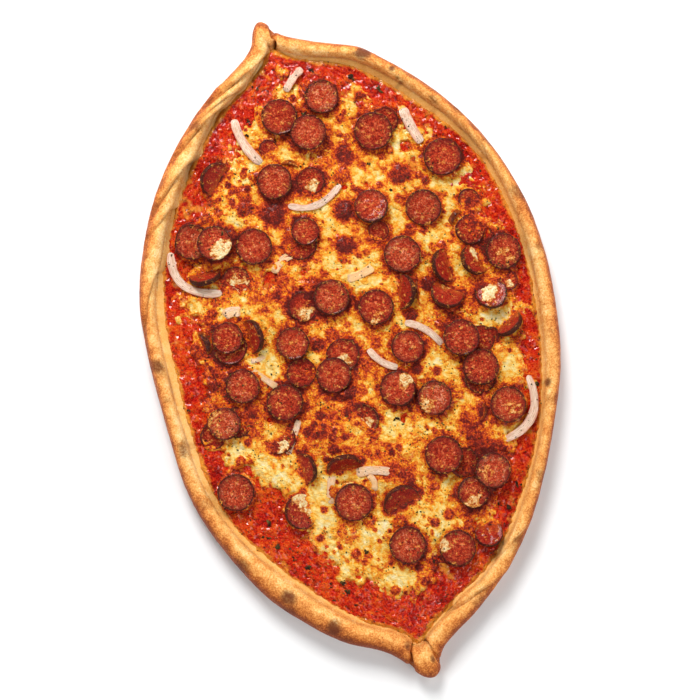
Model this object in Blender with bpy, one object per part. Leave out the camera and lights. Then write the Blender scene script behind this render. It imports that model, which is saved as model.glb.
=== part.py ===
"""An oval flatbread (pide): a dough boat with a rolled rim pinched to a nub at each end, filled with a
layer of sauce, a layer of melted cheese, slices of sausage and strips of onion.

Metres, +Z up, +Y along the length. The underside lies on z = 0, centred on the origin.
"""

import math

import bmesh
import bpy
import numpy as np
from mathutils import Matrix, Vector

MM = 0.001

# Driving dimensions, in millimetres.
BREAD_LENGTH = 379.5
BREAD_WIDTH = 229.0
RIM_HEIGHT = 16.0
NUB_HEIGHT = 13.0
FLOOR_HEIGHT = 4.5
EDGE_INSET = 3.5
SAUCE_THICKNESS = 1.2
SAUCE_INSET = 1.0
CHEESE_THICKNESS = 2.4
CHEESE_INSET = 6.5
SLICE_THICKNESS = 3.0
ONION_THICKNESS = 1.4
GAP = 0.3
SLICE_SIDES = 20
HEIGHT_STEP = 0.5

SAUCE_BOTTOM = FLOOR_HEIGHT + GAP
CHEESE_BOTTOM = SAUCE_BOTTOM + SAUCE_THICKNESS + GAP
CHEESE_TOP = CHEESE_BOTTOM + CHEESE_THICKNESS
TOPPING_BOTTOM = CHEESE_TOP + GAP

# Rim stations clockwise from the upper nub: outer edge x, y and inner edge x, y, in millimetres.
RIM = (
    (-8, 189.7, -6.5, 173),
    (-3.5, 186, -5.5, 172),
    (-0.5, 181, -2.5, 170),
    (10, 174.5, 7, 164),
    (28, 167, 22, 158.5),
    (43, 161, 34, 154),
    (56, 149.5, 48, 143.5),
    (70, 136, 61, 130),
    (87, 114.5, 77, 111),
    (100, 90.5, 90, 92),
    (110, 60, 100, 62),
    (114.2, 27, 104, 28),
    (113, -2, 102.5, -2),
    (109, -30, 98.5, -30),
    (94, -71, 86.5, -70),
    (80, -100, 71, -99),
    (60, -130, 52, -125),
    (46, -144, 39, -137.5),
    (24, -161.5, 18, -150),
    (8, -171, 2, -160),
    (2, -177.5, -4, -165),
    (0.5, -185, -7, -167.5),
    (-5, -189.7, -8.5, -168),
    (-13, -185, -10, -168),
    (-18.5, -177, -11.5, -165.5),
    (-27, -169, -17, -159.5),
    (-48, -158, -37, -148.5),
    (-66, -142.5, -55, -131),
    (-85, -120.5, -72.5, -110),
    (-99.5, -93, -87.5, -89),
    (-110, -65, -98, -63),
    (-114.2, -15, -102.5, -15),
    (-114.4, 18, -102.3, 18),
    (-112.5, 48, -100, 47),
    (-100, 87, -86.5, 86),
    (-78, 123.5, -65.5, 118),
    (-49, 152, -39.5, 146),
    (-29, 165.5, -21.5, 157),
    (-15.5, 176, -9.5, 166.5),
    (-12.6, 185, -7.2, 171.5),
)

# Sausage slices, lower ones first: x and y of the middle of what shows, diameter, lean in degrees, the way
# the face looks (degrees from +X), and how far the raised edge of a sunk one stands above the cheese, or 0.
SLICES = (
    (-10, 134, 20, 3, 60, 0),
    (-55, 111.5, 19, 42, 315, 8),
    (-21.5, 100, 19.5, 4, 200, 0),
    (15.5, 139, 18.5, 3, 0, 0),
    (3.5, 121.5, 19.5, 4, 240, 0),
    (38.5, 113.5, 21, 5, 200, 0),
    (72, 90, 21, 3, 100, 0),
    (27, 76, 19, 14, 90, 6),
    (53.5, 64.5, 20, 16, 220, 6.5),
    (37, 43.5, 20.5, 3, 270, 0),
    (91.5, 31, 19.5, 5, 330, 0),
    (56, 31.5, 19, 40, 0, 7.5),
    (72.5, 29.5, 18, 40, 20, 7),
    (54.5, 14.5, 18.5, 30, 55, 6.5),
    (79.5, 8.5, 17.5, 22, 90, 5.5),
    (34.5, 22.5, 20, 48, 165, 8.5),
    (15.5, 18.5, 19.5, 3, 60, 0),
    (-12, 69, 15.5, 6, 30, 0),
    (-41.5, 68, 20, 3, 40, 0),
    (-74, 79, 19.5, 5, 240, 0),
    (-62, 75, 19, 5, 60, 0),
    (-72, 57, 18, 58, 90, 8),
    (-68.5, 22.5, 17.5, 5, 90, 0),
    (-53, 20, 19, 50, 180, 8.5),
    (-7, 30, 19.5, 3, 30, 0),
    (-34, 10.5, 18, 5, 110, 0),
    (-67, -5.5, 19, 3, 0, 0),
    (-46.5, -20, 20, 4, 60, 0),
    (-16.5, -12, 19.5, 3, 240, 0),
    (-82, -23, 18, 4, 180, 0),
    (-85.5, -61.5, 20.5, 3, 20, 0),
    (-43, -58.5, 18, 42, 180, 7),
    (-24, -60, 19.5, 48, 270, 8),
    (-55.5, -81, 19.5, 25, 0, 6),
    (-23.5, -83, 21, 4, 300, 0),
    (1.5, -86.5, 20.5, 32, 285, 7),
    (27, -7, 18, 3, 50, 0),
    (63.5, -28, 20, 5, 110, 0),
    (57, -9.5, 20, 4, 120, 0),
    (16, -28, 19.5, 4, 120, 0),
    (34.5, -38, 19, 4, 200, 0),
    (73, -52, 20, 3, 60, 0),
    (85.5, -10.5, 17.5, 58, 118, 8),
    (31.5, -70, 21, 5, 130, 0),
    (42, -94, 17.5, 5, 0, 0),
    (55.5, -85, 19.5, 5, 20, 0),
    (-0.5, -113.5, 20.5, 3, 0, 0),
    (26, -122, 20, 4, 45, 0),
    (44.5, -120, 15.5, 28, 80, 6),
)

# Onion strips: x and y of the start, of the point it bends towards and of the end, then the width.
ONIONS = (
    (-87, 75.5, -94, 52.5, -66, 48, 4.4),
    (87.5, -40, 92.5, -67, 67, -70, 4.4),
    (-34.5, 139, -36, 125, -26, 112, 4.6),
    (9, 157, 2, 154, -3, 147, 3.8),
    (57.5, 122, 58.5, 110, 63, 101, 5),
    (29, 6, 41, 2, 45.5, -10.5, 3.8),
    (-17, 85.5, -3, 75.5, 13, 89.5, 3.4),
    (6, -3, 9, -13, 19, -16.5, 3.6),
)

# Colour (linear), roughness and metallic value of each material.
MATERIALS = {
    "dough": ((0.62, 0.35, 0.13), 0.75, 0.0),
    "sauce": ((0.42, 0.035, 0.012), 0.35, 0.0),
    "cheese": ((0.9, 0.56, 0.15), 0.4, 0.0),
    "sausage": ((0.25, 0.05, 0.03), 0.45, 0.0),
    "onion": ((0.82, 0.6, 0.5), 0.35, 0.0),
}


def clear_scene():
    """Removes every object of the start-up scene."""
    for obj in list(bpy.data.objects):
        bpy.data.objects.remove(obj, do_unlink=True)


def material(name):
    """The Principled material of that name, made the first time it is asked for."""
    if name in bpy.data.materials:
        return bpy.data.materials[name]
    colour, roughness, metallic = MATERIALS[name]
    made = bpy.data.materials.new(name)
    made.use_nodes = True
    shader = made.node_tree.nodes["Principled BSDF"]
    shader.inputs["Base Color"].default_value = (*colour, 1.0)
    shader.inputs["Roughness"].default_value = roughness
    shader.inputs["Metallic"].default_value = metallic
    made.diffuse_color = (*colour, 1.0)
    return made


def add_object(name, bm, material_name, sharp_above=45.0):
    """Turns a bmesh in millimetres into a named object in metres, smooth except across sharp edges."""
    bmesh.ops.scale(bm, vec=(MM, MM, MM), verts=bm.verts)
    bmesh.ops.recalc_face_normals(bm, faces=bm.faces)
    for face in bm.faces:
        face.smooth = True
    for edge in bm.edges:
        edge.smooth = edge.calc_face_angle(0.0) < math.radians(sharp_above)
    mesh = bpy.data.meshes.new(name)
    bm.to_mesh(mesh)
    bm.free()
    mesh.materials.append(material(material_name))
    obj = bpy.data.objects.new(name, mesh)
    bpy.context.scene.collection.objects.link(obj)
    return obj


def sample_rim():
    """The rim stations joined by a closed smooth curve, sampled about every 8 mm and at least twice a span.

    Each span is a cubic whose end slopes are the mean of the two neighbouring spans' slopes, weighted so
    that the shorter span counts for more. Rows are outer x, y and inner x, y.
    """
    knots = np.array(RIM, float)
    following = np.roll(knots, -1, axis=0)
    span = np.linalg.norm((following - knots)[:, :2], axis=1)
    slope = (following - knots) / span[:, None]
    before = np.roll(span, 1)[:, None]
    after = span[:, None]
    tangent = (np.roll(slope, 1, axis=0) * after + slope * before) / (before + after)
    next_tangent = np.roll(tangent, -1, axis=0)
    rows = []
    for i in range(len(knots)):
        count = max(2, round(span[i] / 8.0))
        for t in np.arange(count) / count:
            start = (1 + 2 * t) * (1 - t) ** 2 * knots[i] + t * (1 - t) ** 2 * span[i] * tangent[i]
            end = t * t * (3 - 2 * t) * following[i] - t * t * (1 - t) * span[i] * next_tangent[i]
            rows.append(start + end)
    return np.array(rows)


def fit_to_size(rows):
    """Scales and centres the stations so that the outer edge has the bread's length and width."""
    low = rows[:, :2].min(axis=0)
    high = rows[:, :2].max(axis=0)
    middle = np.tile((low + high) / 2, 2)
    scale = np.tile(np.array([BREAD_WIDTH, BREAD_LENGTH]) / (high - low), 2)
    return (rows - middle) * scale


def bridge(bm, lower, upper):
    """Joins two closed rings of the same length with quads."""
    for i in range(len(lower)):
        j = (i + 1) % len(lower)
        bm.faces.new((lower[i], lower[j], upper[j], upper[i]))


def fan(bm, ring, height):
    """Closes a flat ring with triangles that meet at the middle of the bread."""
    centre = bm.verts.new((0.0, 0.0, height))
    for i in range(len(ring)):
        bm.faces.new((ring[i], ring[(i + 1) % len(ring)], centre))


def build_crust(rows):
    """The dough boat: a rounded rim swept round the outline, on a flat base."""
    outer = rows[:, :2]
    inner = rows[:, 2:]
    inward = inner - outer
    inward /= np.linalg.norm(inward, axis=1)[:, None]
    end = np.clip((np.abs(outer[:, 1]) - 150.0) / 35.0, 0.0, 1.0)
    crest = RIM_HEIGHT + (NUB_HEIGHT - RIM_HEIGHT) * end * end * (3 - 2 * end)
    # Across the rim: fraction of the way from the outer to the inner edge, fraction of the crest's height.
    profile = (
        (0.05, 0.16),
        (0.0, 0.42),
        (0.07, 0.72),
        (0.22, 0.92),
        (0.45, 1.0),
        (0.68, 0.93),
        (0.88, 0.74),
        (1.0, 0.5),
    )
    bm = bmesh.new()
    base = outer + inward * EDGE_INSET
    rings = [[bm.verts.new((x, y, 0.0)) for x, y in base]]
    for across, up in profile:
        place = outer + (inner - outer) * across
        rings.append([bm.verts.new((p[0], p[1], h * up)) for p, h in zip(place, crest)])
    rings.append([bm.verts.new((x, y, FLOOR_HEIGHT)) for x, y in inner])
    for lower, upper in zip(rings, rings[1:]):
        bridge(bm, lower, upper)
    fan(bm, rings[0], 0.0)
    fan(bm, rings[-1], FLOOR_HEIGHT)
    return add_object("crust", bm, "dough")


def build_layer(name, rows, inset, wave, bottom, thickness):
    """A flat layer inside the rim, its edge set in towards the middle by inset, plus or minus a wave."""
    inner = rows[::2, 2:]
    reach = np.linalg.norm(inner, axis=1)
    angle = np.arctan2(inner[:, 1], inner[:, 0])
    ripple = wave * (np.sin(7 * angle + 0.6) + 0.6 * np.sin(17 * angle)) / 1.6
    edge = inner * ((reach - inset - ripple) / reach)[:, None]
    bm = bmesh.new()
    low = [bm.verts.new((x, y, bottom)) for x, y in edge]
    high = [bm.verts.new((x, y, bottom + thickness)) for x, y in edge]
    bridge(bm, low, high)
    fan(bm, low, bottom)
    fan(bm, high, bottom + thickness)
    return add_object(name, bm, name)


def slice_disc(x, y, diameter, lean, looks, rise):
    """A leaning disc as a bmesh, and whether it is sunk. Its lowest or highest point is put on its level."""
    radius = diameter / 2
    tilt = math.radians(lean)
    heading = math.radians(looks)
    bm = bmesh.new()
    bmesh.ops.create_cone(
        bm,
        cap_ends=True,
        cap_tris=False,
        segments=SLICE_SIDES,
        radius1=radius,
        radius2=radius,
        depth=SLICE_THICKNESS,
    )
    turn = Matrix.Rotation(heading, 4, "Z") @ Matrix.Rotation(tilt, 4, "Y")
    bmesh.ops.transform(bm, matrix=turn, verts=bm.verts)
    heights = [v.co.z for v in bm.verts]
    if rise:
        shift = radius * math.cos(tilt) - rise / (2 * math.tan(tilt))
        lift = TOPPING_BOTTOM + rise - max(heights)
    else:
        shift = 0.0
        lift = TOPPING_BOTTOM - min(heights)
    place = Vector((x + shift * math.cos(heading), y + shift * math.sin(heading), lift))
    bmesh.ops.translate(bm, vec=place, verts=bm.verts)
    return bm


def cut_below(bm, height):
    """Cuts away what lies under a level and closes the cut with one flat face."""
    geometry = bm.verts[:] + bm.edges[:] + bm.faces[:]
    bmesh.ops.bisect_plane(
        bm,
        geom=geometry,
        plane_co=(0.0, 0.0, height),
        plane_no=(0.0, 0.0, 1.0),
        clear_inner=True,
    )
    rim = [edge for edge in bm.edges if edge.is_boundary]
    bmesh.ops.contextual_create(bm, geom=rim)
    bmesh.ops.remove_doubles(bm, verts=bm.verts, dist=1e-4)


class HeightField:
    """The tops of the pieces laid so far, on a square grid, so that the next one can rest on them."""

    def __init__(self):
        self.half = 100.0 * np.array([1.3, 2.0])
        counts = (2 * self.half / HEIGHT_STEP).astype(int) + 1
        self.xs = -self.half[0] + HEIGHT_STEP * np.arange(counts[0])
        self.ys = -self.half[1] + HEIGHT_STEP * np.arange(counts[1])
        self.top = np.full((counts[1], counts[0]), TOPPING_BOTTOM - GAP)

    def span(self, bm):
        """Lowest and highest surface of a convex piece over each grid point, and where it is."""
        co = np.array([v.co for v in bm.verts])
        ix = np.nonzero((self.xs > co[:, 0].min() - 1) & (self.xs < co[:, 0].max() + 1))[0]
        iy = np.nonzero((self.ys > co[:, 1].min() - 1) & (self.ys < co[:, 1].max() + 1))[0]
        gx, gy = np.meshgrid(self.xs[ix], self.ys[iy])
        low = np.full(gx.shape, -1e3)
        high = np.full(gx.shape, 1e3)
        inside = np.ones(gx.shape, bool)
        for face in bm.faces:
            n = face.normal
            distance = n.dot(face.verts[0].co)
            if n.z > 1e-6:
                high = np.minimum(high, (distance - n.x * gx - n.y * gy) / n.z)
            elif n.z < -1e-6:
                low = np.maximum(low, (distance - n.x * gx - n.y * gy) / n.z)
            else:
                inside &= n.x * gx + n.y * gy <= distance + HEIGHT_STEP
        inside &= low <= high + HEIGHT_STEP
        return np.ix_(iy, ix), low, high, inside

    def lift_for(self, bm):
        """How far a piece must rise to clear what is laid already by the gap."""
        bm.normal_update()
        window, low, high, inside = self.span(bm)
        need = np.where(inside, self.top[window] + GAP - low, 0.0)
        return max(0.0, float(need.max()))

    def lay(self, bm):
        """Adds a piece to the field."""
        bm.normal_update()
        window, low, high, inside = self.span(bm)
        field = self.top[window]
        self.top[window] = np.where(inside, np.maximum(field, high), field)


def build_slices():
    """Every slice, each resting on the cheese or on slices laid before it, or sunk and cut at the cheese."""
    field = HeightField()
    for number, (x, y, diameter, lean, looks, rise) in enumerate(SLICES, start=1):
        bm = slice_disc(x, y, diameter, lean, looks, rise)
        if rise:
            cut_below(bm, TOPPING_BOTTOM)
        else:
            lift = field.lift_for(bm)
            bmesh.ops.translate(bm, vec=(0.0, 0.0, lift), verts=bm.verts)
        field.lay(bm)
        add_object(f"sausage_slice_{number:02d}", bm, "sausage")


def build_onions():
    """Curved strips with a low rounded section, each a bent bar along a parabola."""
    section = ((-0.5, 0.0), (0.5, 0.0), (0.46, 0.6), (0.2, 1.0), (-0.2, 1.0), (-0.46, 0.6))
    for number, (x0, y0, x1, y1, x2, y2, width) in enumerate(ONIONS, start=1):
        bm = bmesh.new()
        start = Vector((x0, y0))
        bend = Vector((x1, y1))
        end = Vector((x2, y2))
        rings = []
        for t in np.linspace(0.0, 1.0, 11):
            place = start * (1 - t) ** 2 + bend * (2 * t * (1 - t)) + end * t * t
            along = ((bend - start) * (1 - t) + (end - bend) * t).normalized()
            side = Vector((-along.y, along.x))
            wide = width * (0.72 + 0.28 * math.sin(math.pi * t))
            ring = []
            for across, up in section:
                p = place + side * (across * wide)
                ring.append(bm.verts.new((p.x, p.y, TOPPING_BOTTOM + up * ONION_THICKNESS)))
            rings.append(ring)
        for first, second in zip(rings, rings[1:]):
            bridge(bm, first, second)
        bm.faces.new(rings[0][::-1])
        bm.faces.new(rings[-1])
        add_object(f"onion_strip_{number}", bm, "onion")


clear_scene()
stations = fit_to_size(sample_rim())
build_crust(stations)
build_layer("sauce", stations, SAUCE_INSET, 0.0, SAUCE_BOTTOM, SAUCE_THICKNESS)
build_layer("cheese", stations, CHEESE_INSET, 1.5, CHEESE_BOTTOM, CHEESE_THICKNESS)
build_slices()
build_onions()
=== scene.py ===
import math

import bpy
import numpy as np
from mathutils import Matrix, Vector
from mathutils.bvhtree import BVHTree


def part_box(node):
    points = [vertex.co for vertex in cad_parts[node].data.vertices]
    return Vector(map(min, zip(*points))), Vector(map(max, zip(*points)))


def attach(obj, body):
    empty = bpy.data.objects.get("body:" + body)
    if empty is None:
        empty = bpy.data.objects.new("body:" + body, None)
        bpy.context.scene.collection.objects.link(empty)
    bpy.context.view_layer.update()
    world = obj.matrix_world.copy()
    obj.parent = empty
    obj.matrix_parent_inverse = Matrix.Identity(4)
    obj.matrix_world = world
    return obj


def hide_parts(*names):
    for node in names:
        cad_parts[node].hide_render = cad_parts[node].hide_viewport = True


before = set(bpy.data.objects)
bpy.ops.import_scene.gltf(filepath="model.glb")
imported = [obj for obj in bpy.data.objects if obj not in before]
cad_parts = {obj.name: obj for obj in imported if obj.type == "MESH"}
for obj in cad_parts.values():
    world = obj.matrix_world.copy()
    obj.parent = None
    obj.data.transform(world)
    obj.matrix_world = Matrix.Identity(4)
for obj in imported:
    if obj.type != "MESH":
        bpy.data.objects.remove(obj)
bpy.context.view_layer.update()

# --- Crust ---------------------------------------------------------------------------------------
# A sheet of yeast dough whose two long edges are rolled inwards and pinched together into a nub at
# each end, then baked on a stone: pale where the roll is fat, golden and charred where it stood proud.

MM = 0.001
STATIONS = 1240
ACROSS = 54
ROLL_BUMPS = 0.5
ROLL_WIDTH = 13.0


def node_mesh(name):
    """Corners of a CAD node in millimetres, each once, and its triangles as rows of three corner numbers."""
    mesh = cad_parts[name].data
    corners = np.empty(len(mesh.vertices) * 3, np.float32)
    mesh.vertices.foreach_get("co", corners)
    sides = np.empty(len(mesh.loops), np.int32)
    mesh.loops.foreach_get("vertex_index", sides)
    rounded = np.round(corners.reshape(-1, 3) / MM, 2)
    points, number = np.unique(rounded, axis=0, return_inverse=True)
    return points, number.reshape(-1)[sides].reshape(-1, 3)


def smooth_loop(values, width):
    """A closed run of values, each replaced by the mean of its neighbours under a bell of that many steps."""
    steps = np.arange(-3 * width, 3 * width + 1)
    bell = np.exp(-0.5 * (steps / width) ** 2)
    bell /= bell.sum()
    return sum(w * np.roll(values, -k, axis=0) for w, k in zip(bell, steps))


def smoothstep(low, high, value):
    """0 below low, 1 above high, and the cubic 3t^2 - 2t^3 between them."""
    t = np.clip((value - low) / (high - low), 0.0, 1.0)
    return t * t * (3.0 - 2.0 * t)


def lattice_noise(x, y, size, seed):
    """Smooth noise from -1 to 1: random values on a square lattice of that size, joined by quintic blends."""
    table = np.random.default_rng(seed).uniform(-1.0, 1.0, (256, 256))
    u = x / size + 31.7
    v = y / size + 57.3
    i = np.floor(u).astype(int)
    j = np.floor(v).astype(int)
    f = u - i
    g = v - j
    f = f**3 * (f * (f * 6 - 15) + 10)
    g = g**3 * (g * (g * 6 - 15) + 10)
    near = table[j % 256, i % 256] * (1 - f) + table[j % 256, (i + 1) % 256] * f
    far = table[(j + 1) % 256, i % 256] * (1 - f) + table[(j + 1) % 256, (i + 1) % 256] * f
    return near * (1 - g) + far * g


def layered_noise(x, y, size, seed, layers=3, fade=0.5):
    """Lattice noise plus finer layers, each half the size of the last and fade times as strong."""
    total = sum(fade**k * lattice_noise(x, y, size / 2**k, seed + k) for k in range(layers))
    return total / sum(fade**k for k in range(layers))


# The rim's two edges, from the CAD crust: the corners of its floor, and the ring where it is widest.
crust_points, _ = node_mesh("crust")
levels, count = np.unique(crust_points[:, 2], return_counts=True)
FLOOR = levels[levels > 1.0][np.argmax(count[levels > 1.0])]
RIM_TOP = crust_points[:, 2].max()
inner_ring = crust_points[np.abs(crust_points[:, 2] - FLOOR) < 0.005]
at_widest = (crust_points[:, 2] > 0.3 * RIM_TOP) & (crust_points[:, 2] < 0.45 * RIM_TOP)
wide_ring = crust_points[at_widest]
gap_to_inner = np.linalg.norm(wide_ring[:, None, :2] - inner_ring[None, :, :2], axis=2).min(axis=1)
outer_ring = wide_ring[gap_to_inner > 0.3]


def ordered(ring):
    """A ring's corners clockwise from its furthest point in +Y, by their angle at the middle."""
    angle = -np.arctan2(ring[:, 1], ring[:, 0])
    ring = ring[np.argsort(angle)]
    return np.roll(ring, -int(np.argmax(ring[:, 1])), axis=0)[:, :2]


outer_ring = ordered(outer_ring)
inner_ring = ordered(inner_ring)


def stations_along(outer, inner, count):
    """Evenly spaced stations round the outer edge, each with its point on the inner edge, and the way along."""
    closed = np.vstack([np.hstack([outer, inner]), np.hstack([outer[:1], inner[:1]])])
    length = np.concatenate([[0.0], np.cumsum(np.linalg.norm(np.diff(closed[:, :2], axis=0), axis=1))])
    way = np.arange(count) / count * length[-1]
    rows = np.stack([np.interp(way, length, closed[:, k]) for k in range(4)], axis=1)
    return smooth_loop(rows, 3), way, length[-1]


rows, way, loop_length = stations_along(outer_ring, inner_ring, STATIONS)
outer = rows[:, :2]
inner = rows[:, 2:]
tail = way[np.argmin(outer[:, 1])]
on_left = way > tail
from_top = np.where(on_left, loop_length - way, way)

# Where the roll's foot creases against the flat dough, as a fraction of the rim's width, by the distance
# from the upper nub down each side.
FOOT_LEFT = (
    (0, 0.95), (40, 0.96), (100, 0.96), (145, 0.9), (185, 0.74), (260, 0.78), (320, 0.88), (400, 0.94), (470, 0.94),
)  # fmt: skip
FOOT_RIGHT = (
    (0, 0.92), (40, 0.82), (90, 0.76), (130, 0.74), (170, 0.86), (260, 0.93), (360, 0.92), (480, 0.92),
)  # fmt: skip
# Folds where one length of roll laps over the next: side, way at the inner edge, way at the outer edge, depth.
FOLDS = (
    ("left", 15, 59, 3.4),
    ("left", 44, 76, 1.6),
    ("left", 58, 91, 3.2),
    ("left", 94, 126, 3.0),
    ("left", 124, 142, 1.4),
    ("left", 160, 192, 2.0),
    ("right", 438, 406, 2.8),
    ("right", 396, 376, 1.2),
    ("right", 118, 88, 0.9),
    ("right", 160, 132, 1.1),
)
# Deep notches beside the nubs: side, way along, depth.
NOTCHES = (("right", 9.5, 5.0), ("left", 449, 4.2), ("right", 466, 2.6))

side_foot = [np.interp(from_top, *np.array(table, float).T) for table in (FOOT_LEFT, FOOT_RIGHT)]
foot = smooth_loop(np.where(on_left, side_foot[0], side_foot[1]), 12)
near_end = smoothstep(150.0, 185.0, np.abs(outer[:, 1]))
crest = RIM_TOP * (0.96 - 0.16 * near_end)
crest *= 1.0 + 0.05 * lattice_noise(outer[:, 0], outer[:, 1], 34.0, 5)

# The section, from the underside's edge out, up over the crest, down to the foot and in under the sauce:
# fraction of the width (times the foot's place where marked), fraction of the crest's height.
SECTION = (
    (0.30, 0.0, False),
    (0.10, 0.03, False),
    (0.01, 0.18, False),
    (0.0, 0.42, False),
    (0.05, 0.68, False),
    (0.20, 0.89, True),
    (0.44, 0.99, True),
    (0.68, 0.99, True),
    (0.86, 0.88, True),
    (0.955, 0.75, True),
    (0.99, 0.63, True),
    (1.03, 0.61, True),
    (1.0, 0.5, False),
    (1.12, 0.42, False),
    (1.3, 0.3, False),
)


def curve_weights(knots, samples):
    """How much each knot counts at each sample along a Catmull-Rom curve through evenly spaced knots."""
    place = np.linspace(0.0, knots - 1.0, samples)
    first = np.minimum(place.astype(int), knots - 2)
    t = place - first
    parts = (-t + 2 * t**2 - t**3, 2 - 5 * t**2 + 3 * t**3, t + 4 * t**2 - 3 * t**3, -(t**2) + t**3)
    weights = np.zeros((samples, knots))
    for k, part in enumerate(parts):
        np.add.at(weights, (np.arange(samples), np.clip(first + k - 1, 0, knots - 1)), part / 2)
    return weights


across_knots = np.stack([a * (foot if scaled else np.ones(STATIONS)) for a, _, scaled in SECTION], axis=1)
up_knots = np.stack([crest * up for _, up, _ in SECTION], axis=1)
weights = curve_weights(len(SECTION), ACROSS)
across = across_knots @ weights.T
up = np.maximum(up_knots @ weights.T, 0.0)

span = inner - outer
position = np.dstack(
    [
        outer[:, None, 0] + span[:, None, 0] * across,
        outer[:, None, 1] + span[:, None, 1] * across,
        up,
    ]
)


def grid_normals(grid):
    """Unit normals of a ring of rows of points, from the cross product of its two running differences."""
    along = np.roll(grid, -1, axis=0) - np.roll(grid, 1, axis=0)
    over = np.gradient(grid, axis=1)
    normal = np.cross(along, over)
    return normal / np.maximum(np.linalg.norm(normal, axis=2, keepdims=True), 1e-9)


normal = grid_normals(position)
if normal[:, ACROSS // 2, 2].mean() < 0:
    normal = -normal

# Folds and notches are worked out on the way along the rim and the fraction across the roll.
roll_across = np.clip(across / foot[:, None], 0.0, 1.0)
way_grid = np.repeat(from_top[:, None], ACROSS, axis=1)
left_grid = np.repeat(on_left[:, None], ACROSS, axis=1)
wander = 2.0 * lattice_noise(position[:, :, 0], position[:, :, 1], 9.0, 11)
push = np.zeros_like(across)
# crease_shade: where the folds, the notches and the roll's foot are painted darker, as the shade in those recesses
crease_shade = np.zeros_like(across)
for side, at_inner, at_outer, depth in FOLDS:
    line = at_outer + (at_inner - at_outer) * roll_across**1.5
    slant = math.hypot(1.0, (at_outer - at_inner) / ROLL_WIDTH)
    past = (way_grid + wander - line) / slant
    here = (left_grid == (side == "left")) & (up > 2.0)
    strength = smoothstep(0.0, 0.12, roll_across) * here
    low = np.where(past > 0, np.exp(-past / 3.6), np.exp(past / 0.8))
    shoulder = np.where(past < 0, np.exp(-(((past + 2.8) / 2.6) ** 2)), 0.0)
    push += 0.8 * strength * depth * (0.4 * shoulder - low)
    crease_shade = np.maximum(crease_shade, strength * np.exp(-(((past - 0.2) / 0.55) ** 2)) * min(1.0, depth / 2.0))
for side, at, depth in NOTCHES:
    away = way_grid + 0.4 * wander - at
    here = (left_grid == (side == "left")) & (up > 1.0)
    push -= here * depth * np.exp(-((away / 1.7) ** 2)) * smoothstep(0.0, 0.3, roll_across + 0.25)
    crease_shade = np.maximum(crease_shade, here * np.exp(-((away / 1.1) ** 2)) * min(1.0, depth / 4.0))
foot_line = np.exp(-(((across / foot[:, None] - 1.0) * 12.0) ** 2))
foot_line = foot_line * (0.55 + 0.45 * lattice_noise(way_grid, across, 17.0, 3))
crease_shade = np.maximum(crease_shade, foot_line * (up > 4.0))

# Puffed dough: soft swells, shallow wrinkles that follow the roll, and fine pimples.
x, y, z = position[:, :, 0], position[:, :, 1], position[:, :, 2]
swell = 0.55 * layered_noise(x + z, y - z, 16.0, 21)
wrinkle = 0.1 * lattice_noise(way_grid, 14.0 * across + 3.0 * left_grid, 1.0, 23)
wrinkle = wrinkle * lattice_noise(x, y, 22.0, 29)
pimple = 0.16 * layered_noise(x + z, y + z, 2.6, 33, 2)
off_floor = smoothstep(0.4, 3.0, z)
push += off_floor * ROLL_BUMPS * (swell + wrinkle + pimple)
position = position + normal * (push * off_floor)[:, :, None]
position[:, :, 2] = np.maximum(position[:, :, 2], 0.0)

# Browning: the outer flank and the tops of the puffs take colour first; char spots sit where it blistered.
# Spots: side, way from the upper nub, fraction across the roll, radius, strength.
SPOTS = (
    ("right", 64, 0.42, 6.5, 1.0),
    ("right", 60, 0.62, 4.0, 0.5),
    ("right", 82, 0.5, 2.6, 0.9),
    ("right", 88, 0.85, 2.2, 0.7),
    ("right", 91, 1.0, 2.4, 0.8),
    ("right", 112, 0.7, 4.5, 0.5),
    ("right", 126, 0.12, 5.5, 0.6),
    ("right", 150, 0.2, 6.0, 0.45),
    ("right", 184, 0.3, 7.0, 0.7),
    ("right", 216, 0.2, 6.0, 0.45),
    ("right", 262, 0.5, 5.0, 0.3),
    ("right", 291, 0.85, 3.2, 0.9),
    ("right", 300, 0.3, 7.0, 0.35),
    ("right", 345, 0.3, 8.0, 0.5),
    ("right", 384, 0.3, 8.0, 0.5),
    ("right", 424, 0.25, 8.0, 0.5),
    ("right", 24, 0.5, 4.0, 0.35),
    ("right", 470, 0.45, 4.2, 0.9),
    ("left", 72, 0.3, 7.0, 0.6),
    ("left", 108, 0.2, 7.0, 0.35),
    ("left", 152, 0.4, 6.0, 0.3),
    ("left", 213, 0.5, 6.5, 0.75),
    ("left", 232, 0.6, 4.0, 0.35),
    ("left", 261, 0.65, 6.0, 0.75),
    ("left", 294, 0.65, 7.0, 0.4),
    ("left", 337, 0.2, 7.0, 0.75),
    ("left", 369, 0.5, 7.0, 0.95),
    ("left", 372, 0.15, 8.0, 0.5),
    ("left", 399, 0.42, 7.5, 1.0),
    ("left", 408, 0.2, 8.0, 0.5),
    ("left", 443, 0.75, 5.0, 0.75),
    ("left", 3, 0.5, 5.0, 0.35),
)
flank = 1.0 - smoothstep(0.05, 0.5, roll_across)
ragged = layered_noise(x + z, y - z, 6.0, 41, 4)
bake = 0.33 + 0.48 * flank + 0.16 * layered_noise(x, y, 30.0, 43) + 0.17 * ragged
bake += 0.16 * left_grid * smoothstep(20.0, -90.0, y)
bake -= 0.22 * smoothstep(0.45, 0.8, roll_across) * (1.0 - 0.6 * smoothstep(-20.0, 40.0, outer[:, None, 0]))
bake = np.clip(bake * smoothstep(-1.0, 1.5, z) + 0.35 * (1.0 - smoothstep(0.0, 2.0, z)), 0.0, 1.0)
char = np.zeros_like(bake)
roll_width = np.linalg.norm(span, axis=1)[:, None] * foot[:, None]
for side, at, spot_across, radius, strength in SPOTS:
    away = np.hypot(way_grid - at, 1.25 * (roll_across - spot_across) * roll_width)
    blot = smoothstep(1.1, 0.15, away / radius + 0.35 * ragged)
    char = np.maximum(char, strength * blot * (left_grid == (side == "left")))


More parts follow.
